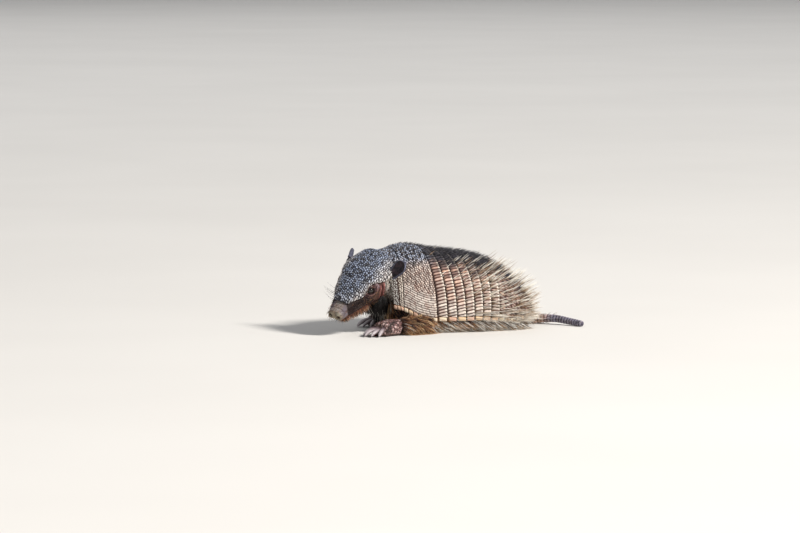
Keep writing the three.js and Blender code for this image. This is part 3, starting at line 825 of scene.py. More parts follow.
def pebbles(points, size, seed):
    """Granules in space: how far points are from a seam, and each granule's own chance."""
    scaled = points / size
    corner = np.floor(scaled)
    nearest = np.full(points.shape[:-1], 9.0)
    second = nearest.copy()
    own = np.zeros(points.shape[:-1])
    for step in np.ndindex(3, 3, 3):
        cell = corner + np.array(step) - 1
        key = cell[..., 0] + 57 * cell[..., 2]
        jitter = np.stack([chance(key, cell[..., 1], seed + k) for k in range(3)], -1)
        apart = np.linalg.norm(scaled - cell - jitter, axis=-1)
        closer = apart < nearest
        second = np.where(closer, nearest, np.minimum(second, apart))
        own = np.where(closer, jitter[..., 0], own)
        nearest = np.where(closer, apart, nearest)
    return second - nearest, own


def weave_ear(side):
    mirror = np.array([side, 1, 1])
    along = unit(EAR_WAY[side])
    mouth = EAR_MOUTH[side]
    depth = unit(mouth - along * (mouth @ along))
    across = np.cross(along, depth)
    u, v = np.meshgrid(np.linspace(-1, 1, 56), np.linspace(0, 1, 64), indexing="ij")
    half = EAR_WIDTH / 2 * (0.85 + 0.15 * smooth(v, 0, 0.5)) * fall(np.maximum(0, 2 * v - 1), 2.4)
    half = np.maximum(half, 0.25)
    roll = np.radians(lerp(*EAR_ROLL, v**0.6))
    radius = half / roll
    rim = np.maximum(bump(1 - np.abs(u), 0.12), bump(1 - v, 0.06))
    thick = lerp(*EAR_THICK, v) * (1 + 0.9 * rim)
    folds = 0.35 * np.sin(u * 9 + v * 2) * smooth(v, 0.15, 0.4) * smooth(v, 1, 0.75) * (1 - rim)
    faces = []
    for outward in (0.5, -0.5):
        swell = outward * thick + (folds if outward < 0 else 0)
        ring = radius + swell
        reach = v * EAR_LENGTH[side] * (1 - 0.1 * u * u * v) + 0.5 * np.sin(u * 5 + side) * v**3
        turn = u * roll
        leaf = (
            EAR_ROOT * mirror
            + reach[..., None] * along
            + (ring * np.sin(turn))[..., None] * across
            + (radius - ring * np.cos(turn) + EAR_CURL[side] * smooth(v, 0.55, 1.05))[..., None] * depth
        )
        seam, own = pebbles(leaf, EAR_GRANULE, 7)
        rise = smooth(seam, 0, 0.35)
        away = unit(leaf - (EAR_ROOT * mirror + reach[..., None] * along + radius[..., None] * depth))
        grain = EAR_RELIEF * rise * (outward > 0)
        faces.append((leaf + away * grain[..., None], rise, (outward < 0) * (1 - rim), own))
    back, front = faces
    points = np.concatenate([back[0], front[0][:, ::-1], back[0][:, :1]], 1)
    layers = {
        name: np.concatenate([back[k], front[k][:, ::-1], back[k][:, :1]], 1)
        for name, k in (("rise", 1), ("inside", 2), ("own", 3))
    }
    layers["tip"] = np.concatenate([v, v[:, ::-1], v[:, :1]], 1)
    return cover("ear", from_head(points), layers, 80)


def ear_finish():
    f = Finish("ear_skin", specular=0.4, Sheen_Weight=0.15)
    rise, inside, own, tip = f.layers("rise", "inside", "own", "tip")
    mottle = f.noise(230, 4)
    grain = f.noise(2200, 3)
    outer = f.mix(own, (44, 46, 62), (92, 94, 114))
    inner = f.mix(f.step(mottle, 0.4, 0.65), (26, 22, 34), (70, 52, 60))
    colour = f.mix(inside, outer, inner)
    # Painted highlight: the back of the ear is paler blue-grey towards its tip.
    colour = f.mix(f.step(tip, 0.7, 1.0) * (1 - inside) * 0.45, colour, (112, 114, 140))
    colour = f.mix(f.step(rise, 0.6, 0.1) * 0.6, colour, (24, 20, 26))
    rough = 0.5 + f.step(grain, 0.3, 0.7) * 0.2
    return f.set(Base_Color=colour, Roughness=rough, Normal=f.bump(grain + mottle, 0.0003, 0.8))


EAR = ear_finish()
for side, word in SIDE_NAMES.items():
    piece(f"ear_{word}_leaf", weave_ear(side), EAR, "ear", f"ear_{word}")

# %% [markdown]
# An armadillo's eye is small, dark and wet. It is a ball with a clearer bulge, the cornea, over a dark
# brown iris and a wide pupil. A ball from Blender's own sphere operator is pushed out at its pole to make
# the bulge, and its pole is turned to look out from the head. The lids belong to the skin, which is made
# next.

# %% Eyes
EYE_RADIUS = 4.4
EYE_OUT = np.array([0.93, -0.22, 0.24])  # the way that the left eye looks, in the head's drawing
EYE_AHEAD = np.array([0, -1, 0.12])  # the way that its corner points


def eye_frame(side):
    """Middle of the eye in the head's drawing, and its ways out, forward and up."""
    low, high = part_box("eye_left" if side > 0 else "eye_right")
    centre = to_head(500 * np.array(low + high) - SHIFT)
    out = unit(EYE_OUT * [side, 1, 1])
    forward = unit(EYE_AHEAD - out * (out @ EYE_AHEAD))
    return centre, out, forward, np.cross(out, forward) * side


def weave_eye(side):
    centre, out, forward, _ = eye_frame(side)
    bm = bmesh.new()
    bmesh.ops.create_uvsphere(bm, u_segments=48, v_segments=32, radius=1)
    for vert in bm.verts:
        from_pole = math.acos(max(-1, min(1, vert.co.z)))
        vert.co *= EYE_RADIUS * (1 + 0.06 * float(smooth(from_pole, 0.85, 0.25)))
    mesh = bpy.data.meshes.new("eye")
    bm.to_mesh(mesh)
    bm.free()
    local = np.empty(len(mesh.vertices) * 3)
    mesh.vertices.foreach_get("co", local)
    local = local.reshape(-1, 3)
    pole = np.arctan2(np.hypot(local[:, 0], local[:, 1]), local[:, 2])
    add_layer(mesh, "pole", pole)
    axes = np.stack([forward, np.cross(out, forward), out])
    write_points(mesh, from_head(centre + local @ axes))
    shade_smooth(mesh)
    return mesh


def eye_finish():
    f = Finish("wet_eye", roughness=0.06, specular=0.6, Coat_Weight=0.6, Coat_Roughness=0.02)
    pole = f.attribute("pole")
    fibres = f.noise(2600, 4)
    iris = f.mix(fibres, (14, 8, 7), (32, 20, 16))
    colour = f.mix(f.step(pole, 0.42, 0.36), iris, (4, 3, 4))
    colour = f.mix(f.step(pole, 0.8, 0.95), colour, (22, 14, 14))
    return f.set(Base_Color=colour, Normal=f.bump(fibres, 0.00005, 0.2))


EYE = eye_finish()
for side, word in SIDE_NAMES.items():
    piece(f"eye_{word}_ball", weave_eye(side), EYE, "eye", f"eye_{word}")

# %% [markdown]
# One skin covers everything that is flesh: head, jaw, neck, trunk, legs and feet. It could be modelled from
# a single cage, but here the solids of the frame already have the forms, so their merged copies are swelled
# until they touch, fused by a voxel remesh and smoothed. The skin then sinks by the depth of the coat where
# hair will stand, and stays close to the solids on the face and the feet.

# %% Skin
LEGS = ["fore_left", "fore_right", "hind_left", "hind_right"]
FLESH = ["head", "jaw", "neck", "trunk", *[f"{leg}_{part}" for leg in LEGS for part in ("leg", "foot")]]
VOXEL = 1.5
SWELL = {"head": 0.45, "jaw": 0.45}  # how far a solid is swelled before the remesh, if not by BODY_SWELL
BODY_SWELL = 0.7
RELAX, RELAX_STEPS = 0.5, 6  # of the smoothing after it
REFINE_EYE, REFINE_NOSE = 13, 78  # the finest skin is this near an eye's middle, and this far forward
TOES = range(1, 6)


def read_normals(mesh):
    values = np.empty(len(mesh.vertices) * 3, np.float32)
    mesh.vertex_normals.foreach_get("vector", values)
    return values.reshape(-1, 3).astype(float)


def fuse_flesh():
    bm = bmesh.new()
    for node in FLESH:
        own = bmesh.new()
        own.from_mesh(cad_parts[node].data)
        bmesh.ops.remove_doubles(own, verts=own.verts, dist=1e-5)
        own.normal_update()
        swell = SWELL.get(node, BODY_SWELL)
        for vert in own.verts:
            vert.co += vert.normal * swell * MM
        copy = bpy.data.meshes.new("copy")
        own.to_mesh(copy)
        own.free()
        bm.from_mesh(copy)
        bpy.data.meshes.remove(copy)
    mesh = bpy.data.meshes.new("flesh")
    bm.to_mesh(mesh)
    bm.free()
    body = show("flesh", mesh)
    remesh = body.modifiers.new("fuse", "REMESH")
    remesh.mode = "VOXEL"
    remesh.voxel_size = VOXEL * MM
    relax = body.modifiers.new("relax", "SMOOTH")
    relax.factor, relax.iterations = RELAX, RELAX_STEPS
    fused = bpy.data.meshes.new_from_object(body.evaluated_get(bpy.context.evaluated_depsgraph_get()))
    bpy.data.objects.remove(body)
    fused.name = "skin"
    return fused


def refine(mesh, inside):
    """Halves the quads whose corners are all inside."""
    bm = bmesh.new()
    bm.from_mesh(mesh)
    chosen = [e for e in bm.edges if inside[e.verts[0].index] and inside[e.verts[1].index]]
    bmesh.ops.subdivide_edges(bm, edges=chosen, cuts=1, use_grid_fill=True, smooth=0)
    bm.to_mesh(mesh)
    bm.free()


def from_axis(points):
    """How far points are from the head's own axis."""
    return np.linalg.norm(points - from_head(to_head(points) * [0, 1, 0]), axis=1)


def near_head(points):
    """1 on the head, 0 away from it."""
    return smooth(from_axis(points), 48, 36)


def in_body(box):
    """The corners of a box of the frame, in body millimetres."""
    return [1000 * np.array(corner) - SHIFT for corner in box]


def near_box(points, box, far, close):
    """1 for points closer than close to a box of the frame, and 0 for points beyond far."""
    low, high = in_body(box)
    outside = np.maximum(np.maximum(low - points, points - high), 0)
    return smooth(np.linalg.norm(outside, axis=1), far, close)


def near_foot(points):
    """1 at the feet, 0 away from them."""
    mask = np.zeros(len(points))
    for leg in LEGS:
        mask = np.maximum(mask, near_box(points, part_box(f"{leg}_foot"), 3.5, 0.5))
    return mask


def toe_lines(points):
    """How far points are, in plan, from the line of the nearest toe, and 1 where the toes lie apart."""
    from_toe, apart = np.full(len(points), 9.0), np.zeros(len(points))
    for leg in LEGS:
        wrist = lerp(*in_body(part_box(f"{leg}_foot")), [0.5, 0.85, 0.5])
        for toe in TOES:
            claw = 500 * sum(np.array(corner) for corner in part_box(f"{leg}_claw_{toe}")) - SHIFT
            way = unit((claw - wrist)[:2])
            rel = points[:, :2] - wrist[:2]
            along, aside = rel @ way, np.abs(rel[:, 0] * way[1] - rel[:, 1] * way[0])
            near = (along > 0) & (along < 45)
            from_toe = np.where(near, np.minimum(from_toe, aside), from_toe)
            apart = np.maximum(apart, near * smooth(along, 7, 15))
    return from_toe, apart


skin = fuse_flesh()
points = read_points(skin)
head_local = to_head(points)
on_face = (head_local[:, 1] < -6) & (head_local[:, 2] > -40) & (np.abs(head_local[:, 0]) < 40)
refine(skin, on_face | (near_foot(points) > 0.4))
points = read_points(skin)
near_eye = np.zeros(len(points), bool)
for side in SIDE_NAMES:
    near_eye |= np.linalg.norm(to_head(points) - eye_frame(side)[0], axis=1) < REFINE_EYE
near_nose = to_head(points)[:, 1] < -REFINE_NOSE
refine(skin, near_eye | near_nose)
print("skin:", len(skin.vertices), "vertices before its details")

# %% [markdown]
# The face is brought back onto the head's own drawing, so that no facet of the solid shows, and is then
# sculpted by numbers. Each detail is a field over the skin: where it is, and how far it lifts or sinks. The
# lids are lifted round each eyeball and the skin in the opening is tucked in behind it. The mouth is a
# groove, the nostrils are pits, and rings and folds of loose skin lie round the eye and behind it.

# %% Face
# In this cell p holds points in the head's drawing.

# distance in front of the occiput and height of the mouth's line
MOUTH = np.array([[36, -9], [46, -6.2], [62, -7.2], [81, -10.4], [92, -13.4]])
NOSTRIL = np.array([5.6, -91.6, -7.6])  # the left one
LID_LONG, LID_HIGH = 3.8, 1.9
FOLD = 5.8  # spacing of the folds behind the eye
FOLDS_AT = 25  # their distance in front of the occiput


def onto_head(points):
    """Moves points of the face onto the head's drawing."""
    p = to_head(points)
    distance = -p[:, 1]
    half, over, under, rise = head_sizes(distance)
    up = p[:, 2] > rise
    power = np.where(up, CROWN_POWER / 2, 1)
    sine = signed_power(p[:, 0] / half, power)
    cosine = signed_power((p[:, 2] - rise) / np.where(up, over, under), power)
    target = raised(head_surface, p[:, 1], np.arctan2(sine, cosine), 0)[0]
    share = smooth(distance, 8, 24) * smooth(distance, 90, 85)
    share = share * smooth(np.linalg.norm(target - p, axis=1), 5, 2)
    return from_head(lerp(p, target, share[:, None])), share


def lids(points):
    """Shapes the skin round the eyeballs, and says how far each point is from the lids' edge."""
    p = to_head(points)
    ring = np.full(len(p), 9.0)
    for side in SIDE_NAMES:
        centre, out, forward, up = eye_frame(side)
        q = p - centre
        reach = np.linalg.norm(q, axis=1)
        a, b, h = q @ forward, q @ up, q @ out
        almond = np.hypot(a / LID_LONG, b / (LID_HIGH * (1 - 0.28 * np.abs(a / LID_LONG) ** 1.5).clip(0.2)))
        almond = np.where(h > 0, almond, 9)
        ring = np.minimum(ring, almond)
        tucked = smooth(almond, 1.0, 0.86)
        lid = EYE_RADIUS + 0.35 + 0.75 * bump(almond - 1.3, 0.3) + 0.35 * bump(almond - 1.02, 0.12)
        lifted = np.maximum(reach, lid)
        share = smooth(almond, 2.3, 1.5)
        new = lerp(reach, lerp(lifted, EYE_RADIUS - 1.4, tucked), np.maximum(share, tucked))
        p = np.where((reach < 14)[:, None], centre + q * (new / reach)[:, None], p)
    return from_head(p), ring


def above_mouth(p):
    """How far points are above the mouth's line."""
    return p[:, 2] - np.interp(-p[:, 1], MOUTH[:, 0], MOUTH[:, 1])


def round_eye(p, side):
    """Places in the rings round an eye: forward and up in them, how far out, and the way from the eyeball."""
    centre, _, forward, up = eye_frame(side)
    q = p - centre
    a, b = q @ forward + 1.5, q @ up + 1.2
    return a, b, np.hypot(a / 1.18, b), q


def folds(p):
    """Folds of loose skin behind the eye, from -1 in a fold to 1 on a ridge."""
    return -np.cos((-p[:, 1] - 27.6 + 0.16 * p[:, 2] + 0.5 * np.sin(p[:, 2] * 0.4)) * 2 * np.pi / FOLD)


def face_relief(points):
    """How far the details of the head lift or sink the skin, in millimetres."""
    p = to_head(points)
    distance = -p[:, 1]
    lift = np.zeros(len(p))
    in_mouth = smooth(distance, 34, 42)
    for depth, place, width in ((-1.7, 0, 0.9), (0.9, 2.4, 1.4), (0.7, -2.4, 1.5)):
        lift += depth * bump(above_mouth(p) - place, width) * in_mouth
    for side in SIDE_NAMES:
        away = p - NOSTRIL * [side, 1, 1]
        lift -= 3.4 * bump(np.linalg.norm(away * [1, 0.7, 1.25], axis=1), 1.9)
        lift += 0.8 * bump(np.linalg.norm(away, axis=1) - 3.4, 0.9)
    lift -= 0.7 * bump(distance - 84.5 + 0.25 * p[:, 2], 0.8) * smooth(p[:, 2], -10, -6)
    beside = smooth(np.abs(p[:, 0]), 17, 23)
    behind_eye = 1.1 * folds(p) * beside * bump(distance - FOLDS_AT, 6)
    lift += behind_eye * smooth(p[:, 2], 9, 3) * smooth(p[:, 2], -26, -14)
    throat = np.sin(distance * 0.9 + 0.6 * np.sin(p[:, 0] * 0.3))
    lift += 0.5 * throat * smooth(p[:, 2], -12, -20) * smooth(distance, 50, 20)
    wrinkles = np.sin(p[:, 2] * 2.6 + 0.7 * np.sin(distance * 0.5))
    wrinkles = wrinkles * smooth(distance, 52, 60) * smooth(distance, 84, 78)
    return lift + 0.18 * wrinkles * smooth(p[:, 2], 2, -4)


def eye_rings(points, lift):
    """Adds rings of loose skin round each eye."""
    for side in SIDE_NAMES:
        a, b, ring, q = round_eye(to_head(points), side)
        near = smooth(np.linalg.norm(q, axis=1), 14, 11) * smooth(ring, 4.2, 5.4)
        lift = lift + near * (0.42 * np.sin(ring * 2.5 + 0.5 * np.sin(4 * np.arctan2(b, a))) - 0.1)
    return lift


points = read_points(skin)
points, on_head = onto_head(points)
write_points(skin, points)
normals = read_normals(skin)
local = to_head(points)
feet = near_foot(points)
face = smooth(-local[:, 1], -6, 12) * near_head(points)
print("face:", int((on_head > 0.5).sum()), "vertices on the head's drawing")

# %% [markdown]
# Below the armour the skin sinks by the depth of the coat, and its own surface gets creases and granules.
# The feet and the cheek carry small scutes, so granules in space lift the skin there. The same fields are
# kept as layers for the finish.

# %% Creases and granules
COAT_DEPTH = 3.2
BARE_DEPTH = 0.55  # how far the skin of the face and feet lies inside its solids
LOWEST = 0.12  # height of the skin's own flats
SCUTE_SIZE, GRANULE_SIZE = 3.1, 1.7  # on the cheek and the feet, and on the face


def cheek(p):
    """1 on the patch of scutes behind the eye, under the ear. Points are in the head's drawing."""
    behind = smooth(-p[:, 1], 23, 19) * smooth(-p[:, 1], -16, -8)
    return behind * smooth(p[:, 2], 9, 5) * smooth(p[:, 2], -30, -20) * smooth(np.abs(p[:, 0]), 15, 20)


from_floor = smooth(points[:, 2], 0.5, 4)
haired = (1 - face) * (1 - feet)
sink = lerp(BARE_DEPTH, COAT_DEPTH, haired)
lift = face_relief(points) * face - sink * lerp(from_floor, 1, 0.15)
patch = cheek(local) * smooth(from_axis(points), 52, 44)
seam, own = pebbles(points, SCUTE_SIZE, 31)
granule = smooth(seam, 0.03, 0.4)
fine_granule = smooth(pebbles(points, GRANULE_SIZE, 37)[0], 0.03, 0.4)
on_foot = feet * smooth(points[:, 2], 2, 5)
from_toe, toes_apart = toe_lines(points)
lift += 0.75 * patch * (granule - 0.3) + 0.45 * on_foot * (granule - 0.5)
lift += on_foot * toes_apart * (0.9 * bump(from_toe, 3.0) - 1.0 * bump(from_toe - 3.9, 1.6))
lift += 0.2 * face * (1 - patch) * (fine_granule - 0.5) * smooth(-local[:, 1], 88, 80)
creases = np.sin(points[:, 1] * 0.75 + 1.2 * np.sin(points[:, 0] * 0.16) + points[:, 2] * 0.4)
lift += 0.55 * creases * haired
lift = eye_rings(points, lift)
points = points + normals * lift[:, None]
points[:, 2] = np.maximum(points[:, 2], LOWEST)
points, lid_ring = lids(points)
write_points(skin, points)
print("skin box in mm", points.min(0).round(1), points.max(0).round(1))

# %% [markdown]
# The skin's colours are laid down as paint: each zone of the animal is a mask times a colour, over a dark
# brown ground. Some of this paint is light and shade. The lids are near black, partly their own colour and
# partly painted shadow, and the rings round the eye are mauve, darkened by painted shade as under the brow,
# with a painted highlight on a pale arc behind and below the eye. The folds behind the eye are red, with a
# painted highlight on their ridges and painted shade in their troughs. The muzzle is a very dark maroon
# under the shield, partly its own colour and partly painted shade. The jaw is orange-brown, partly its own
# colour and partly painted sunlight, with painted shade below it and in a band along the mouth's line. The
# lip is orange-brown and the nose grey, with its nostrils painted near black as shade. The feet are
# mauve-brown with painted shade between the toes, and the skin under the head is darkened with painted shade.
# The shader then breaks the paint up with noise and gives it pores and a slight moist gloss on the nose and
# the lids.

# %% Paint of the skin
def painted(points, lid_ring):
    """Colour of the skin at each point, linear, as four columns."""
    p = to_head(points)
    distance = -p[:, 1]
    colour = np.tile(linear((56, 40, 35)), (len(p), 1))

    def lay(mask, screen):
        colour[:] = lerp(colour, np.array(linear(screen)), np.clip(mask, 0, 1)[:, None])

    # Painted shade: the neck and chest under the head are darkened as the head's shadow would.
    shade_under_head = smooth(points[:, 1], 30, 6) * bump(points[:, 2] - 42, 20) * (1 - feet)
    lay(shade_under_head * (1 - face), (22, 16, 15))
    lay(face, (80, 54, 48))
    lay(face * smooth(distance, 60, 72) * smooth(p[:, 2], -14, -6), (70, 50, 50))
    # The muzzle's very dark maroon is partly the skin's own colour and partly painted shade under the shield.
    lay(face * smooth(distance, 42, 50) * smooth(distance, 86, 80), (26, 7, 8))
    over = above_mouth(p)
    # Painted shade: below the mouth's line the skin is dark, and the jaw's colour starts lower towards the
    # rear, so a band of shade lies between face and jaw.
    mouth_shade_band = 2.6 * smooth(distance, 84, 66)
    jaw = smooth(distance, 44, 54) * smooth(over + mouth_shade_band, -0.5, -2.2)
    lay(face * smooth(distance, 34, 42) * smooth(over, 1, -1), (34, 14, 13))
    # The jaw's orange-brown is partly the skin's own colour and partly painted sunlight, and its lower part
    # is darker with painted shade.
    lay(face * jaw, (134, 84, 64))
    lay(face * jaw * smooth(over, -8, -13), (90, 58, 48))
    lay(face * smooth(distance, 78, 88) * smooth(over, 1, -1), (200, 160, 116))
    nose = smooth(distance - 1.05 * np.abs(p[:, 0]), 65.5, 70) * smooth(over, 0, 2)
    lay(nose, (148, 140, 134))
    lay(nose * smooth(np.abs(p[:, 0]), 3, 9) * smooth(distance, 90, 84), (110, 102, 110))
    lay(nose * smooth(distance, 87, 92), (150, 143, 124))
    for side in SIDE_NAMES:
        a, b, ring, q = round_eye(p, side)
        ring = ring + 9 * (q @ eye_frame(side)[1] < -4)
        # Painted shade round the eye, as under the brow.
        lay(smooth(ring, 11.5, 8.5), (84, 56, 58))
        # Painted highlight on a pale arc behind and below the eye.
        lay(bump(ring - 7.9, 1.7) * smooth(a, 2, -3) * smooth(b, 5, 1), (176, 152, 158))
        lay(bump(ring - 7.2, 1.0) * smooth(a, 5, 0) * smooth(b, 1, 5), (150, 118, 112))
        lay(bump(ring - 10.2, 1.0) * 0.9, (46, 20, 24))
        lay(bump(ring - 5.7, 0.9) * 0.85, (48, 28, 32))
        # Painted shade: the nostrils' pits are near black.
        away = (p - NOSTRIL * [side, 1, 1]) * [1, 0.25, 1.25]
        lay(smooth(np.linalg.norm(away, axis=1), 2.5, 1.5), (14, 10, 10))
    # The lids are near black: partly their own colour and partly painted shadow.
    lay(smooth(lid_ring, 2.1, 1.6), (38, 23, 26))
    lay(smooth(lid_ring, 1.6, 1.25), (15, 9, 11))
    beside = smooth(np.abs(p[:, 0]), 17, 23) * smooth(p[:, 2], 9, 4) * smooth(p[:, 2], -22, -12)
    ridge = folds(p)
    lay(beside * bump(distance - FOLDS_AT, 6) * 0.9, (112, 56, 54))
    # Painted highlight on the ridges of the folds and painted shade in their troughs.
    lay(beside * bump(distance - FOLDS_AT, 6.5) * smooth(ridge, 0.2, 0.9), (176, 122, 116))
    lay(beside * bump(distance - FOLDS_AT, 6.5) * smooth(ridge, -0.1, -0.8) * 1.2, (44, 12, 16))
    lay(patch * 1.1, (192, 188, 180))
    lay(patch * smooth(own, 0.55, 0.9), (224, 216, 206))
    lay(patch * smooth(seam, 0.26, 0.06), (58, 52, 50))
    # Painted shade: the face is darker low down, under the jaw.
    lay(smooth(p[:, 2], -16, -24) * face, (48, 38, 34))
    lay(on_foot, (132, 98, 96))
    lay(on_foot * smooth(own, 0.45, 0.85) * 0.85, (216, 188, 184))
    lay(on_foot * smooth(seam, 0.28, 0.06), (40, 24, 24))
    # Painted shade in the grooves between the toes.
    lay(on_foot * toes_apart * bump(from_toe - 3.7, 1.5), (30, 18, 19))
    # Painted shade in the mouth's line.
    lay(smooth(np.abs(over), 1.0, 0.3) * smooth(distance, 35, 42) * face, (24, 14, 12))
    return colour


def skin_finish():
    f = Finish("bare_skin", specular=0.25, Subsurface_Weight=0.04, Subsurface_Scale=0.002)
    paint = f.attribute("paint", "Color")
    moist = f.attribute("moist")
    mottle = f.noise(170, 4)
    pores = f.cells(1900)
    wrinkle = f.noise(700, 4, 0.7)
    colour = f.mix(f.step(mottle, 0.35, 0.7) * 0.45, paint, f.tint(paint, (168, 130, 120)))
    colour = f.mix(f.step(wrinkle, 0.45, 0.75) * 0.35, colour, f.mix(0.16, colour, (236, 214, 200)))
    colour = f.mix(f.step(pores, 0.25, 0.0) * 0.5, colour, f.tint(colour, (120, 90, 84)))
    rough = 0.72 - moist * 0.34 - wrinkle * 0.12
    height = wrinkle * 0.8 + pores * 0.4
    return f.set(Base_Color=colour, Roughness=rough, Normal=f.bump(height, 0.0005, 0.8))


layer = skin.attributes.new("paint", "FLOAT_COLOR", "POINT")
layer.data.foreach_set("color", painted(points, lid_ring).ravel())
moist = np.maximum(smooth(-to_head(points)[:, 1], 80, 86), smooth(lid_ring, 1.5, 1.1))
add_layer(skin, "moist", moist)
shade_smooth(skin)
piece("skin", skin, skin_finish(), "skin", *FLESH)

# %% [markdown]
# The tail is a stiff, blunt rod ringed with small scutes. Its middle line is the solids' line, and a tube
# is woven round it, ring by ring. The rings swell a little and the scutes in them are offset from ring to
# ring. Its root is orange-brown and hairy, and its end is violet-grey.

# %% Tail
TAIL_LINE = np.array([
    [0, 180, 14],
    [1, 200, 7.5],
    [7, 219, 6.5],
    [24, 238, 7.5],
    [47, 250, 5],
    [68, 256, 3.6],
])
TAIL_ROOT, TAIL_END = 6.5, 3.4  # radius
TAIL_MEAN = 5.0  # radius that its scutes are laid out on
TAIL_RING = 4.3  # pitch of its rings
TAIL_ROUND = 15  # scutes in a ring
TAIL_STEPS = 400  # points of its middle line
TAIL_GRAIN = 0.42  # spacing of the grid along it


def axes_along(line):
    """For each point of a line, the way it runs, a level way across it and the way up."""
    tangent = unit(np.gradient(line, axis=0))
    side = unit(np.cross(tangent, [0, 0, 1]))
    return tangent, side, np.cross(side, tangent)


def tail_radius(share):
    return lerp(TAIL_ROOT, TAIL_END, share**0.8)


def weave_tail():
    line = spline(TAIL_LINE, TAIL_STEPS)
    travel = paces(line, 0)
    length = travel[-1]
    at = np.linspace(0, 1, int(length / TAIL_GRAIN))
    centre = np.stack([np.interp(at * length, travel, line[:, k]) for k in range(3)], 1)
    share = np.interp(at * length, travel, np.linspace(0, 1, TAIL_STEPS))
    radius = tail_radius(share) * fall(smooth(share, 0.955, 1.0) * 0.999, 2)
    _, side, up = axes_along(centre)
    along, around = np.meshgrid(at * length, np.linspace(0, 2 * np.pi, 84), indexing="ij")
    scute = TAIL_MEAN * 2 * np.pi / TAIL_ROUND
    seam, scute_centre, own = scutes(along, around * TAIL_MEAN, TAIL_RING, scute, 0.12, 41)
    ring = np.abs(along / TAIL_RING % 1 - 0.5)
    rise = dome(seam, scute_centre, 0.3) * (1 - 0.25 * bump(ring, 0.12))
    swell = (0.85 * (rise - 0.55))[..., None]
    out = np.cos(around)[..., None] * side[:, None] + np.sin(around)[..., None] * up[:, None]
    closing = smooth(share, 1.0, 0.97)[:, None, None]
    points = centre[:, None] + out * (radius[:, None, None] + swell * closing)
    points[..., 2] = np.maximum(points[..., 2], 0.3)
    layers = {"rise": rise, "own": own, "end": np.broadcast_to(share[:, None], rise.shape)}
    return cover("tail_scutes", points, layers)


def tail_finish():
    f = Finish("tail_horn", specular=0.35)
    rise, own, end = f.layers("rise", "own", "end")
    mottle = f.noise(190, 4)
    grain = f.noise(1600, 3)
    root = f.mix(own, (150, 108, 88), (206, 164, 138))
    tip = f.mix(own, (56, 52, 74), (124, 120, 146))
    colour = f.mix(f.step(end + mottle * 0.12, 0.5, 0.66), root, tip)
    colour = f.mix(f.step(mottle, 0.5, 0.72) * 0.5, colour, (120, 92, 84))
    # Painted highlight on the tops of the scutes.
    colour = f.mix(f.step(rise, 0.7, 1.0) * 0.35, colour, (226, 220, 222))
    colour = f.mix(f.step(rise, 0.6, 0.14) * 0.95, colour, (34, 28, 34))
    rough = 0.5 + f.step(grain, 0.3, 0.8) * 0.2 + (1 - rise) * 0.15
    return f.set(Base_Color=colour, Roughness=rough, Normal=f.bump(grain, 0.0003, 0.7))


piece("tail_scutes", weave_tail(), tail_finish(), "tail", "tail_root", "tail_middle", "tail_tip")

# %% [markdown]
# Claws are blunt digging nails: arched on top, flat and a little hollow below, with fine grooves along
# them. Each claw's root, tip and width are read from its solid, and a tube is woven along the arch between
# them. The root goes on into the toe, so that the skin closes round it.

# %% Claws
CLAW_INTO_TOE = 6.0
CLAW_WIDTH = 1.42  # against its solid
CLAW_ROWS, CLAW_COLUMNS = 30, 25


def node_points(node):
    return read_points(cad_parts[node].data)


def weave_claw(node, foot):
    """Points of a claw's tube, and for each how far it is towards the tip and how far on top."""
    solid = node_points(node)
    heel = foot.mean(0)
    reach = np.linalg.norm((solid - heel)[:, :2], axis=1)
    tip = solid[reach > reach.max() - 0.6].mean(0)
    root = solid[reach < reach.min() + 1.2].mean(0)
    way = unit(tip - root)
    level = unit(np.cross(way, [0, 0, 1]))
    half = max(0.9, 0.5 * np.ptp(solid @ level) * CLAW_WIDTH)
    length = np.linalg.norm(tip - root)
    t = np.linspace(0, 1, CLAW_ROWS)[:, None]
    back = root - way * CLAW_INTO_TOE + np.array([0, 0, 0.7])
    arch = (root + tip) / 2 + np.array([0, 0, 0.3 * length])
    centre = back * (1 - t) ** 2 + 2 * arch * t * (1 - t) + tip * t**2
    tangent = unit(np.gradient(centre, axis=0))
    up = np.cross(level, tangent)
    slim = fall(t[:, 0] ** 1.8 * 0.985, 1.7)
    angle = np.linspace(0, 2 * np.pi, CLAW_COLUMNS)
    flat = np.where(np.sin(angle) < 0, 0.45, 0.95)
    groove = 1 + 0.035 * np.sin(angle * 11)
    wide = half * slim[:, None] * np.cos(angle) * groove
    high = half * slim[:, None] * np.sin(angle) * flat * groove
    points = centre[:, None] + wide[..., None] * level + high[..., None] * up[:, None]
    points[..., 2] = np.maximum(points[..., 2], 0.25)
    grid = (CLAW_ROWS, CLAW_COLUMNS)
    return points, np.broadcast_to(t, grid), np.broadcast_to(np.sin(angle), grid)


def claw_finish():
    f = Finish("claw_horn", specular=0.5)
    reach, top = f.layers("reach", "top")
    stretched = f.node("ShaderNodeMapping", None, {0: f.place(), 3: (1.0, 0.22, 1.0)})
    streaks = f.noise(900, 3, where=stretched)
    grime = f.noise(420, 4)
    colour = f.mix(f.step(reach, 0.2, 0.85), (118, 100, 106), (208, 198, 200))
    # Painted shade: the claw is darker away from the ridge along its top.
    colour = f.mix(f.step(top, 0.9, 0.1) * 0.7, colour, (74, 56, 62))
    colour = f.mix(f.step(streaks, 0.4, 0.7) * 0.5, colour, (88, 70, 76))
    colour = f.mix(f.step(grime, 0.55, 0.75) * 0.6, colour, (150, 128, 104))
    colour = f.mix(f.step(reach, 0.4, 0.2) * 0.8, colour, (58, 40, 42))
    rough = 0.34 + grime * 0.3
    return f.set(Base_Color=colour, Roughness=rough, Normal=f.bump(streaks, 0.0003, 0.7))


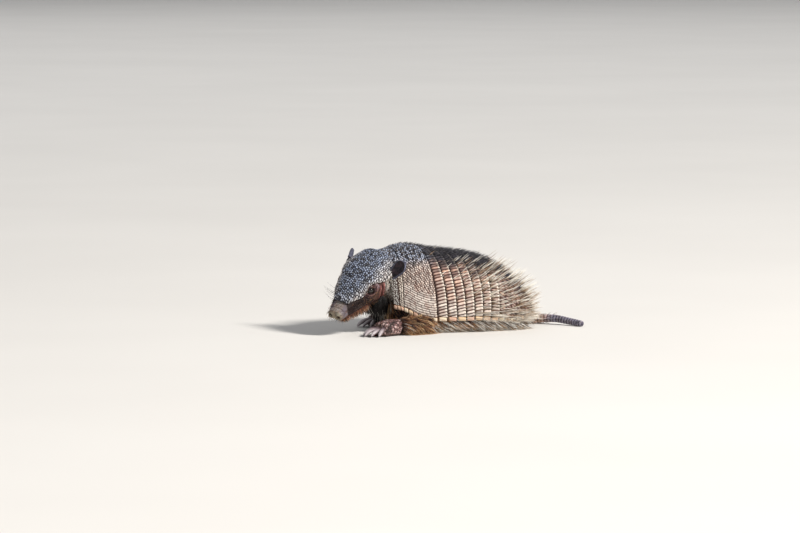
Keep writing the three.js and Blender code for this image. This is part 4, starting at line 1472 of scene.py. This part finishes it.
CLAW = claw_finish()
for leg in LEGS:
    foot = node_points(f"{leg}_foot")
    for toe in TOES:
        node = f"{leg}_claw_{toe}"
        points, reach, top = weave_claw(node, foot)
        piece(f"{node}_nail", cover("claw", points, {"reach": reach, "top": top}, 80), CLAW, "claw", node)

# %% [markdown]
# The hair is coarse and sparse, so each hair is a thin solid of its own: three narrow rings and a point,
# bent by a curve. Tens of thousands of them are laid out by one set of array sums and joined, which no
# particle system or instance would survive in an exported model. Each hair gets a small patch of the map
# OFBake at its root's place on the skin, unrolled round the body, so its colours can be baked.

# %% Hair
RINGS = np.array([0.0, 0.4, 0.75, 1.0])
SIDES = 3
PATCH = 0.003  # size of a hair's patch on the map
PATCH_PLACES = 0.98  # of the map that the hairs' patches are spread over
HAIR_LIMIT = 11000  # hairs in a piece
HAIR_LOWEST = 0.4  # height of the hairs that lie on the floor
LOCK_LONG, LOCK_WIDE = 14, 2.4  # size of a lock of hair


def unrolled(roots):
    """Place of each root on the body unrolled round its middle, from 0 to 1 each way."""
    around = np.arctan2(roots[:, 0] - middle(roots[:, 1]), roots[:, 2] - 30) / (2 * np.pi) + 0.5
    along = np.clip((roots[:, 1] + 110) / 390, 0, 1)
    return 0.01 + PATCH_PLACES * np.stack([around, along], 1)


def locks(roots, way):
    """The lock each hair belongs to. Locks are cells of space, long in the way the hair lies."""
    main = unit(way.mean(0))
    side = unit(np.cross(main, [0.2, 0.1, 1]))
    cell = np.stack([main / LOCK_LONG, side / LOCK_WIDE, np.cross(main, side) / LOCK_WIDE], 1)
    return np.unique(np.floor(roots @ cell), axis=0, return_inverse=True)[1].ravel()


def hairs(name, roots, way, length, thick, curl, material, gather=0.0):
    """Joined hairs: roots, directions and curls are rows of three, length and thickness one a hair.

    The tips of a lock gather by a share of their distance from the lock's middle tip.
    """
    lock = locks(roots, way)
    tips = roots + length[:, None] * way + curl
    total = np.stack([np.bincount(lock, tips[:, k]) for k in range(3)], 1) / np.bincount(lock)[:, None]
    curl = curl + gather * (total[lock] - tips)
    tone = chance(lock, 3, 79)
    for part, start in enumerate(range(0, len(roots), HAIR_LIMIT)):
        chosen = slice(start, start + HAIR_LIMIT)
        title = name if len(roots) <= HAIR_LIMIT else f"{name}_{part + 1}"
        mesh = joined_hairs(title, *[a[chosen] for a in (roots, way, length, thick, curl, tone)])
        piece(title, mesh, material, "coat")


def joined_hairs(name, roots, way, length, thick, curl, tone):
    """One mesh of these hairs, with its layers and its map."""
    count = len(roots)
    side = unit(np.cross(way, np.where(np.abs(way[:, 2:]) > 0.9, [[1.0, 0, 0]], [[0, 0, 1.0]])))
    up = np.cross(side, way)
    turn = 2 * np.pi * np.arange(SIDES) / SIDES
    spin = 6.3 * chance(np.arange(count), 1, 77)[:, None] + turn
    rim = np.cos(spin)[..., None] * side[:, None] + np.sin(spin)[..., None] * up[:, None]
    line = roots[:, None] + (length[:, None] * RINGS)[..., None] * way[:, None]
    line = line + (RINGS**2)[:, None] * curl[:, None]
    level = unit(way * [1, 1, 0])
    line = line + np.maximum(0, HAIR_LOWEST - line[..., 2:]) * level[:, None]
    line[..., 2] = np.maximum(line[..., 2], HAIR_LOWEST)
    slim = (1 - 0.85 * RINGS[:-1]) ** 0.8
    rings = line[:, :-1, None] + (thick[:, None] / 2 * slim)[..., None, None] * rim[:, None]
    solid = np.concatenate([rings.reshape(count, -1, 3), line[:, -1:]], 1)
    each = solid.shape[1]
    faces = [(2, 1, 0)]
    for ring in range(len(RINGS) - 2):
        for k in range(SIDES):
            a, b = ring * SIDES + k, ring * SIDES + (k + 1) % SIDES
            faces += [(a, b, b + SIDES), (a, b + SIDES, a + SIDES)]
    last = (len(RINGS) - 2) * SIDES
    faces += [(last + k, last + (k + 1) % SIDES, each - 1) for k in range(SIDES)]
    corners = (np.array(faces).ravel()[None] + each * np.arange(count)[:, None]).ravel()
    mesh = bpy.data.meshes.new(name)
    mesh.vertices.add(count * each)
    write_points(mesh, solid.reshape(-1, 3))
    mesh.loops.add(len(corners))
    mesh.loops.foreach_set("vertex_index", corners)
    mesh.polygons.add(count * len(faces))
    mesh.polygons.foreach_set("loop_start", 3 * np.arange(count * len(faces)))
    shade_smooth(mesh)
    mesh.update(calc_edges=True)
    reach = np.append(np.repeat(RINGS[:-1], SIDES), 1.0)
    strand = chance(np.arange(count), 2, 78)
    add_layer(mesh, "reach", np.tile(reach, count))
    add_layer(mesh, "strand", np.repeat(strand, each))
    add_layer(mesh, "tone", np.repeat(tone, each))
    local = np.stack([np.append(np.tile(np.arange(SIDES) / 2, len(RINGS) - 1), 0.5), reach], 1) - 0.5
    places = unrolled(roots)[:, None] + PATCH * local
    uv = mesh.uv_layers.new(name="OFBake")
    uv.data.foreach_set("uv", places.reshape(-1, 2)[corners].ravel())
    return mesh


def hair_finish(name, root, shaft, tip, other, fade=(0.3, 0.8), locked=0.6):
    """A hair colour that goes from root to tip, with some strands of another colour and some darker locks."""
    f = Finish(name, specular=0.45)
    reach, strand, tone = f.layers("reach", "strand", "tone")
    streak = f.noise(500, 2)
    colour = f.mix(f.step(reach, 0.02, fade[0]), root, shaft)
    colour = f.mix(f.step(reach, fade[0], fade[1]), colour, tip)
    colour = f.mix(f.step(strand, 0.62, 0.8), colour, other)
    colour = f.mix(f.step(streak, 0.3, 0.75) * 0.35, colour, f.tint(colour, (150, 130, 110)))
    colour = f.mix(f.step(tone, 0.62, 0.3) * locked, colour, f.tint(colour, (84, 72, 66)))
    return f.set(Base_Color=colour, Roughness=0.36 + streak * 0.25)


CREAM = hair_finish(
    "cream_bristle", (36, 25, 22), (236, 223, 202), (255, 251, 240), (170, 140, 112), (0.3, 0.55), 0.25
)
DARK = hair_finish("dark_bristle", (12, 11, 16), (24, 23, 31), (62, 61, 72), (16, 15, 21))
FRINGE = hair_finish("fringe_hair", (24, 14, 11), (62, 38, 30), (228, 186, 136), (26, 18, 17), (0.45, 0.9))
ARM = hair_finish("arm_hair", (34, 15, 13), (92, 50, 38), (230, 166, 108), (38, 19, 17), (0.42, 0.9), 0.4)
JAW = hair_finish("jaw_hair", (112, 66, 50), (172, 112, 84), (210, 162, 124), (70, 40, 32))
# The belly's hair is dark: partly its own colour and partly painted shade under the body.
BELLY = hair_finish("belly_hair", (18, 13, 12), (44, 35, 31), (150, 128, 104), (18, 14, 14), (0.5, 0.98), 0.8)
# Near-black hair for the throat and the neck: painted shade, the shadow under the head.
SHADE = hair_finish("throat_hair_painted_shade", (6, 5, 5), (14, 11, 11), (40, 33, 31), (10, 8, 8))
TAWNY = hair_finish("tawny_hair", (70, 42, 30), (176, 128, 88), (236, 206, 160), (120, 84, 60))
GREY = hair_finish(
    "grey_hair", (46, 40, 38), (226, 220, 206), (255, 252, 244), (96, 84, 76), (0.15, 0.5), 0.3
)

# %% [markdown]
# Bristles stand out from under the rear edges of the scutes, on the bands and the rump. They lean back and
# up, and get longer and denser towards the rear. Their roots are drawn at random stations and angles and
# kept where a density allows, and most of them are moved to a rear edge of a row of scutes.

# %% Bristles of the back
draw = np.random.default_rng(12)


def trunk_roots(count, front, rear, density, angle_limit=1.9):
    """Random stations and angles on the trunk, kept by a density from 0 to 1."""
    y = draw.uniform(front, rear, count)
    angle = draw.uniform(-angle_limit, angle_limit, count)
    angle = np.clip(angle, -margin_angle(y) * 0.985, margin_angle(y) * 0.985)
    keep = draw.random(count) < density(y, angle)
    return y[keep], angle[keep]


def spread(way, amount):
    return unit(way + draw.normal(0, amount, way.shape))


def to_row_ends(y):
    """Moves stations to just in front of the rear edge of their band or row of scutes."""
    pitch = np.where(y < RUMP_FRONT, PITCH, RUMP_ROW)
    start = np.where(y < RUMP_FRONT, SHOULDER_REAR, RUMP_FRONT + 2.2)
    row = np.floor((y - start) / pitch)
    return start + (row + 1) * pitch - draw.uniform(0.3, 2.2, len(y))


def back_density(y, angle):
    """Bristles are dense on the flanks of the rump, and few on the first bands and along the spine."""
    on_spine = lerp(0.01, 0.5, smooth(y, 120, 190))
    return (0.12 + 0.88 * smooth(y, 55, 100)) * lerp(on_spine, 1, smooth(np.abs(angle), 0.4, 1.1))


def back_bristles():
    y, angle = trunk_roots(2300, SHOULDER_REAR - 2, 197, back_density)
    y = np.minimum(lerp(y, to_row_ends(y), draw.random(len(y)) < 0.6), 198)
    curve = margin_curve(y, (angle / margin_angle(y)) ** 2)
    roots, normal = raised(trunk_surface, y + curve, angle, 2.9)
    rearward = smooth(y, 120, 196)
    low = smooth(np.abs(angle), 1.1, 1.8)
    lean = np.stack([0 * y, 0.86 + 0 * y, lerp(0.55, 0.12, low)], 1)
    way = spread(unit(lean + normal * lerp(0.2, 0.28, rearward)[:, None]), 0.065)
    length = lerp(9, 20, smooth(y, 60, 120)) * draw.uniform(0.55, 1.35, len(y))
    room = (203 - roots[:, 1] + lerp(3, 10, smooth(roots[:, 2], 15, 45))) / np.maximum(way[:, 1], 0.2)
    length = np.minimum(length, np.maximum(room, 6))
    curl = np.stack([0 * y, 0.06 * length, -0.08 * length * draw.uniform(0, 1, len(y))], 1)
    thick = draw.uniform(0.7, 1.2, len(y))
    return roots, way, length, thick, curl


hairs("back_bristles", *back_bristles(), CREAM)

# %% [markdown]
# Short dark bristles lean back along the nape and the spine, and break the outline of the back. They stand
# between the granules, so their roots need no rows.

# %% Bristles of the spine
def spine_density(y, angle):
    return (1 - 0.8 * smooth(np.abs(angle), 0.35, 1.0)) * lerp(1, 0.35, smooth(y, 130, 165))


def spine_bristles():
    y, angle = trunk_roots(5600, 8, 185, spine_density, 1.0)
    roots, normal = raised(trunk_surface, y, angle, 3.2)
    lean = np.stack([0 * y, 1 + 0 * y, 0.25 + 0 * y], 1)
    way = spread(unit(lean + normal * draw.uniform(0.3, 0.7, len(y))[:, None]), 0.14)
    length = draw.uniform(4, 7.5, len(y)) * lerp(0.95, 1.4, smooth(y, 50, 90))
    curl = np.stack([0 * y, 0.2 * length, -0.1 * length], 1)
    return roots, way, length, draw.uniform(0.4, 0.7, len(y)), curl


hairs("spine_bristles", *spine_bristles(), DARK)

# %% [markdown]
# A fringe hangs from under the margin of the armour along the flanks. Dark brown at the root and pale at
# the tip, it sweeps back and down and bends where it meets the floor. A browner one hangs over the
# forearms, a paler one lies over both, and a cream belt runs along the margin of the rump. They all hang
# the same way, so one function makes them, on both sides.

# %% Fringe
FRINGE_SIDE = 90  # how far out from the middle the fringe may reach


def fringe(count, front, rear, drop, lengths, thick, lie, curl_down):
    """Hair from under the margin. drop says how far round below the margin the roots lie."""
    y = draw.uniform(front, rear, count)
    side = np.where(draw.random(count) < 0.5, -1.0, 1.0)
    angle = side * (margin_angle(y) + draw.uniform(*drop, count))
    roots, normal = raised(trunk_surface, y + margin_curve(y, 1), angle, -0.6)
    out = np.stack([side, 0 * side, 0 * side], 1)
    way = spread(unit(np.array(lie) + normal * 0.15 + out * 0.3), 0.13)
    length = draw.uniform(*lengths, count)
    room = np.maximum(FRINGE_SIDE - np.abs(roots[:, 0]), 2) / np.abs(way[:, 0]).clip(0.05)
    length = np.minimum(length, room)
    curl = np.stack([0 * y, 0.12 * length, -curl_down * length], 1)
    return roots, way, length, draw.uniform(*thick, count), curl


# name, material, gathering, count, front, rear, drop, lengths, thickness, lie, downward curl
FRINGES = (
    ("fringe", FRINGE, 0.45, 3500, 14, 172, (0.0, 0.5), (7, 22), (0.5, 0.9), (0, 0.85, -0.5), 0.12),
    ("arm_fringe", ARM, 0.45, 1300, 8, 92, (0.0, 0.45), (8, 20), (0.5, 0.9), (0, 0.9, -0.5), 0.12),
    ("pale_fringe", GREY, 0.5, 1900, 18, 168, (0.0, 0.3), (10, 24), (0.65, 1.15), (0, 0.95, -0.48), 0.15),
    ("rump_belt", CREAM, 0.3, 1300, 104, 178, (-0.05, 0.05), (7, 14), (0.5, 0.85), (0, 1, -0.08), 0.1),
)
for name, material, gather, *shape in FRINGES:
    hairs(name, *fringe(*shape), material, gather)

# %% [markdown]
# Hair on the flesh starts from the skin's own points. Each zone gives a mask, a way of lying, lengths and
# thicknesses: the forearms and hind legs are brown and shaggy, with tawny and pale strands. The hair of the
# neck and the throat is near black, painted shade under the head, and that of the belly is dark, partly its
# own colour and partly painted shade under the body. Hair is shortest on the feet.

# %% Hair of the skin
flesh, flesh_out = read_points(skin), read_normals(skin)
flesh_head = to_head(flesh)
flesh_forward = -flesh_head[:, 1]
on_the_face = smooth(flesh_forward, -2, 10) * near_head(flesh)
bare_cheek = 1 - smooth(cheek(flesh_head), 0.1, 0.4)
foot_mask = near_foot(flesh)


def from_skin(count, mask, lie, lengths, thick, stand=0.35):
    """Hair rooted at points of the skin, drawn by a mask. It lies one way and stands up by a share, stand."""
    picked = draw.choice(len(flesh), count, p=mask / mask.sum())
    roots = flesh[picked] - 0.3 * flesh_out[picked] + draw.normal(0, 0.35, (count, 3))
    lie, out = unit(np.broadcast_to(np.asarray(lie, float), roots.shape)), flesh_out[picked]
    lie = lie - np.minimum((lie * out).sum(1), 0)[:, None] * out
    way = spread(unit(unit(lie) + out * stand), 0.16)
    length = draw.uniform(*lengths, count)
    return roots, way, length, draw.uniform(*thick, count), np.array([0, 0.1, -0.25]) * length[:, None]


def near_leg(leg):
    return near_box(flesh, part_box(f"{leg}_leg"), 5, 1)


away = flesh[:, 2] > 2
body_skin = (1 - on_the_face) * (1 - foot_mask) * away
arms = body_skin * np.maximum(near_leg("fore_left"), near_leg("fore_right"))
thighs = body_skin * np.maximum(near_leg("hind_left"), near_leg("hind_right"))
belly_zone = body_skin * (1 - np.maximum(arms, thighs)) * smooth(flesh[:, 2], 44, 30)
chest = (1 - foot_mask) * away * smooth(flesh[:, 1], 14, 2) * smooth(flesh_forward, 40, 26)
throat_zone = bare_cheek * chest * (1 - arms)
throat_zone = throat_zone * smooth(flesh[:, 2], 74, 64) * smooth(flesh_head[:, 2], -10, -17)
hairs("arm_hair", *from_skin(6500, arms, (0, 0.85, -0.5), (8, 16), (0.4, 0.75)), ARM, 0.4)
elbows = arms * smooth(flesh[:, 1], 34, 46)
hairs("elbow_strands", *from_skin(700, elbows, (0, 0.9, -0.4), (10, 18), (0.6, 1.0), 0.4), GREY, 0.5)
hairs("thigh_hair", *from_skin(4200, thighs, (0, 0.8, -0.5), (7, 13), (0.35, 0.7)), FRINGE, 0.4)
hairs("belly_strands", *from_skin(2200, belly_zone, (0, 0.9, -0.3), (9, 17), (0.5, 0.9)), GREY, 0.5)
hairs("belly_hair", *from_skin(6500, belly_zone, (0, 0.9, -0.3), (7, 14), (0.35, 0.7)), BELLY, 0.4)
hairs("throat_hair_painted_shade", *from_skin(7000, throat_zone, (0, 0.1, -0.9), (8, 16), (0.4, 0.7), 0.2), SHADE, 0.45)
neck_zone = (1 - foot_mask) * smooth(flesh_forward, 8, 2)
neck_zone = neck_zone * smooth(flesh[:, 1], 20, 12) * smooth(flesh[:, 2], 42, 52)
hairs("neck_hair", *from_skin(2600, neck_zone, (0, 0.5, 0.6), (4, 7.5), (0.35, 0.6), 0.7), SHADE, 0.4)
hairs("arm_strands", *from_skin(2200, arms, (0, 0.8, -0.5), (8, 16), (0.6, 1.0), 0.4), TAWNY, 0.5)

wrists = bump(foot_mask - 0.3, 0.35) * smooth(flesh[:, 2], 6, 12)
hairs("wrist_hair", *from_skin(1200, wrists, (0, -0.6, -0.5), (3, 7), (0.3, 0.55), 0.3), ARM, 0.3)
toes = foot_mask * smooth(flesh[:, 2], 3, 6)
hairs("foot_hair", *from_skin(1500, toes, (0, -0.7, -0.4), (2, 4.5), (0.25, 0.4), 0.3), FRINGE)

# %% [markdown]
# The face has few hairs: a short down, pale strands that hang from the cheek and the chin, an orange-brown
# beard on the jaw, a few curved whiskers on each side of the muzzle, and between the granules of the shield
# pale bristles over the eyes and short dark ones on the crown.

# %% Hair of the head
head_down = bare_cheek * on_the_face * smooth(flesh_forward, 80, 70) * smooth(lid_ring, 2.2, 3.2)
backward = np.array([0, 0.9, -0.5]) @ TURN.T
chin = on_the_face * smooth(flesh_forward, 84, 70) * smooth(flesh_head[:, 2], -12, -18)
cheek_edge = on_the_face * bump(flesh_forward - 22, 14) * smooth(flesh_head[:, 2], -16, -22)
hairs("face_down", *from_skin(2600, head_down, backward, (1.6, 3.2), (0.18, 0.3), 0.25), FRINGE)
hairs("chin_strands", *from_skin(60, chin, (0, 0.2, -1), (6, 13), (0.3, 0.5), 0.3), GREY)
hairs("cheek_strands", *from_skin(110, cheek_edge, (0, 0.3, -1), (9, 20), (0.35, 0.6), 0.3), GREY)
jaw_edge = on_the_face * smooth(flesh_forward, 44, 52) * smooth(flesh_forward, 86, 80)
jaw_edge = jaw_edge * smooth(flesh_head[:, 2], -9.5, -12)
hairs("jaw_hair", *from_skin(1500, jaw_edge, (0, 0.45, -1), (3, 6), (0.3, 0.55), 0.1), JAW, 0.35)


def whiskers(count, distances, angles, lengths, lie, thick):
    """Hairs rooted on the head's drawing, on both sides."""
    distance = draw.uniform(*distances, count)
    side = np.where(draw.random(count) < 0.5, -1.0, 1.0)
    angle = side * np.radians(draw.uniform(*angles, count))
    roots, normal = raised(head_surface, -distance, angle, -0.5)
    lie = np.array(lie) * np.stack([side, 1 + 0 * side, 1 + 0 * side], 1)
    way = spread(unit(lie + normal * 0.9), 0.12)
    length = draw.uniform(*lengths, count)
    bend = np.stack([0 * length, 0.25 * length, 0.1 * length], 1)
    way, bend = way @ TURN.T, bend @ TURN.T
    return from_head(roots), way, length, draw.uniform(*thick, count), bend


hairs("whiskers", *whiskers(18, (52, 76), (55, 85), (11, 19), (0.5, -0.2, 0.5), (0.3, 0.42)), DARK)
hairs("brow_bristles", *whiskers(110, (18, 60), (30, 64), (3, 6), (0, 0.3, 0.2), (0.25, 0.4)), CREAM)
hairs("crown_bristles", *whiskers(620, (-8, 66), (0, 40), (3.5, 7), (0, 1.1, 0.0), (0.3, 0.45)), DARK)

# %% [markdown]
# The root of the tail is shaggy. Its hairs start on the tail's line, all round, and lie along it.

# %% Hair of the tail
def tail_hair(count):
    line = spline(TAIL_LINE, TAIL_STEPS)
    at = (draw.beta(1.0, 2.2, count) * 230).astype(int)
    tangent, side, up = [way[at] for way in axes_along(line)]
    turn = draw.uniform(0, 2 * np.pi, count)[:, None]
    out = np.cos(turn) * side + np.sin(turn) * up
    roots = line[at] + out * (tail_radius(at / TAIL_STEPS) - 0.6)[:, None]
    way = spread(unit(tangent + out * 0.35), 0.14)
    length = draw.uniform(5, 10, count)
    return roots, way, length, draw.uniform(0.35, 0.6, count), out * 0


hairs("tail_hair", *tail_hair(1100), FRINGE)

# %% [markdown]
# The model stands on a pale, plain floor under studio light. The key is a lamp high on the camera's right,
# so the flank is bright, the front of the head is in shade and a shadow falls to the left. A weak fill and
# a pale world keep the shadows open. A broad lamp hangs far behind the model and shines straight down, so
# that the floor is pale up to the top of the picture.

# %% Floor and light
def floor_finish():
    f = Finish("pale_floor", specular=0.2)
    cloud = f.noise(1.5, 2)
    grain = f.noise(300, 3)
    colour = f.mix(f.step(cloud, 0.2, 0.8), (222, 219, 214), (226, 223, 218))
    return f.set(Base_Color=colour, Roughness=0.8 + grain * 0.1, Normal=f.bump(grain, 0.0004, 0.2))


FLOOR_SIZE = 60  # in metres
bm = bmesh.new()
bmesh.ops.create_grid(bm, x_segments=8, y_segments=8, size=FLOOR_SIZE / 2)
mesh = bpy.data.meshes.new("floor")
bm.to_mesh(mesh)
bm.free()
floor = show("floor", mesh)
mesh.materials.append(floor_finish())


def lamp(name, azimuth, elevation, energy, size, distance=8.0, colour=(1, 1, 1)):
    """A square area lamp that looks at the model.

    Its azimuth, in degrees, is counted from the camera's. Energy is in watts, size and distance in metres.
    """
    turn, rise = AZIMUTH + math.radians(azimuth), math.radians(elevation)
    way = Vector((math.sin(turn) * math.cos(rise), -math.cos(turn) * math.cos(rise), math.sin(rise)))
    light = bpy.data.lights.new(name, "AREA")
    light.energy, light.size, light.color = energy, size, colour
    made = show(name, light)
    made.location = way * distance
    made.rotation_euler = way.to_track_quat("Z", "Y").to_euler()
    return made


lamp("key", azimuth=58, elevation=36, energy=980, size=1.5, colour=(1, 0.97, 0.93))
lamp("fill", azimuth=-40, elevation=40, energy=70, size=6)
backdrop = lamp("backdrop", azimuth=180, elevation=25, energy=330, size=12, distance=10)
backdrop.rotation_euler = (0, 0, 0)  # straight down
world = bpy.data.worlds.new("studio")
world.use_nodes = True
sky = world.node_tree.nodes["Background"].inputs
sky["Color"].default_value = linear((214, 218, 226))
sky["Strength"].default_value = 0.28
bpy.context.scene.world = world
bpy.context.scene.view_settings.view_transform = "Standard"
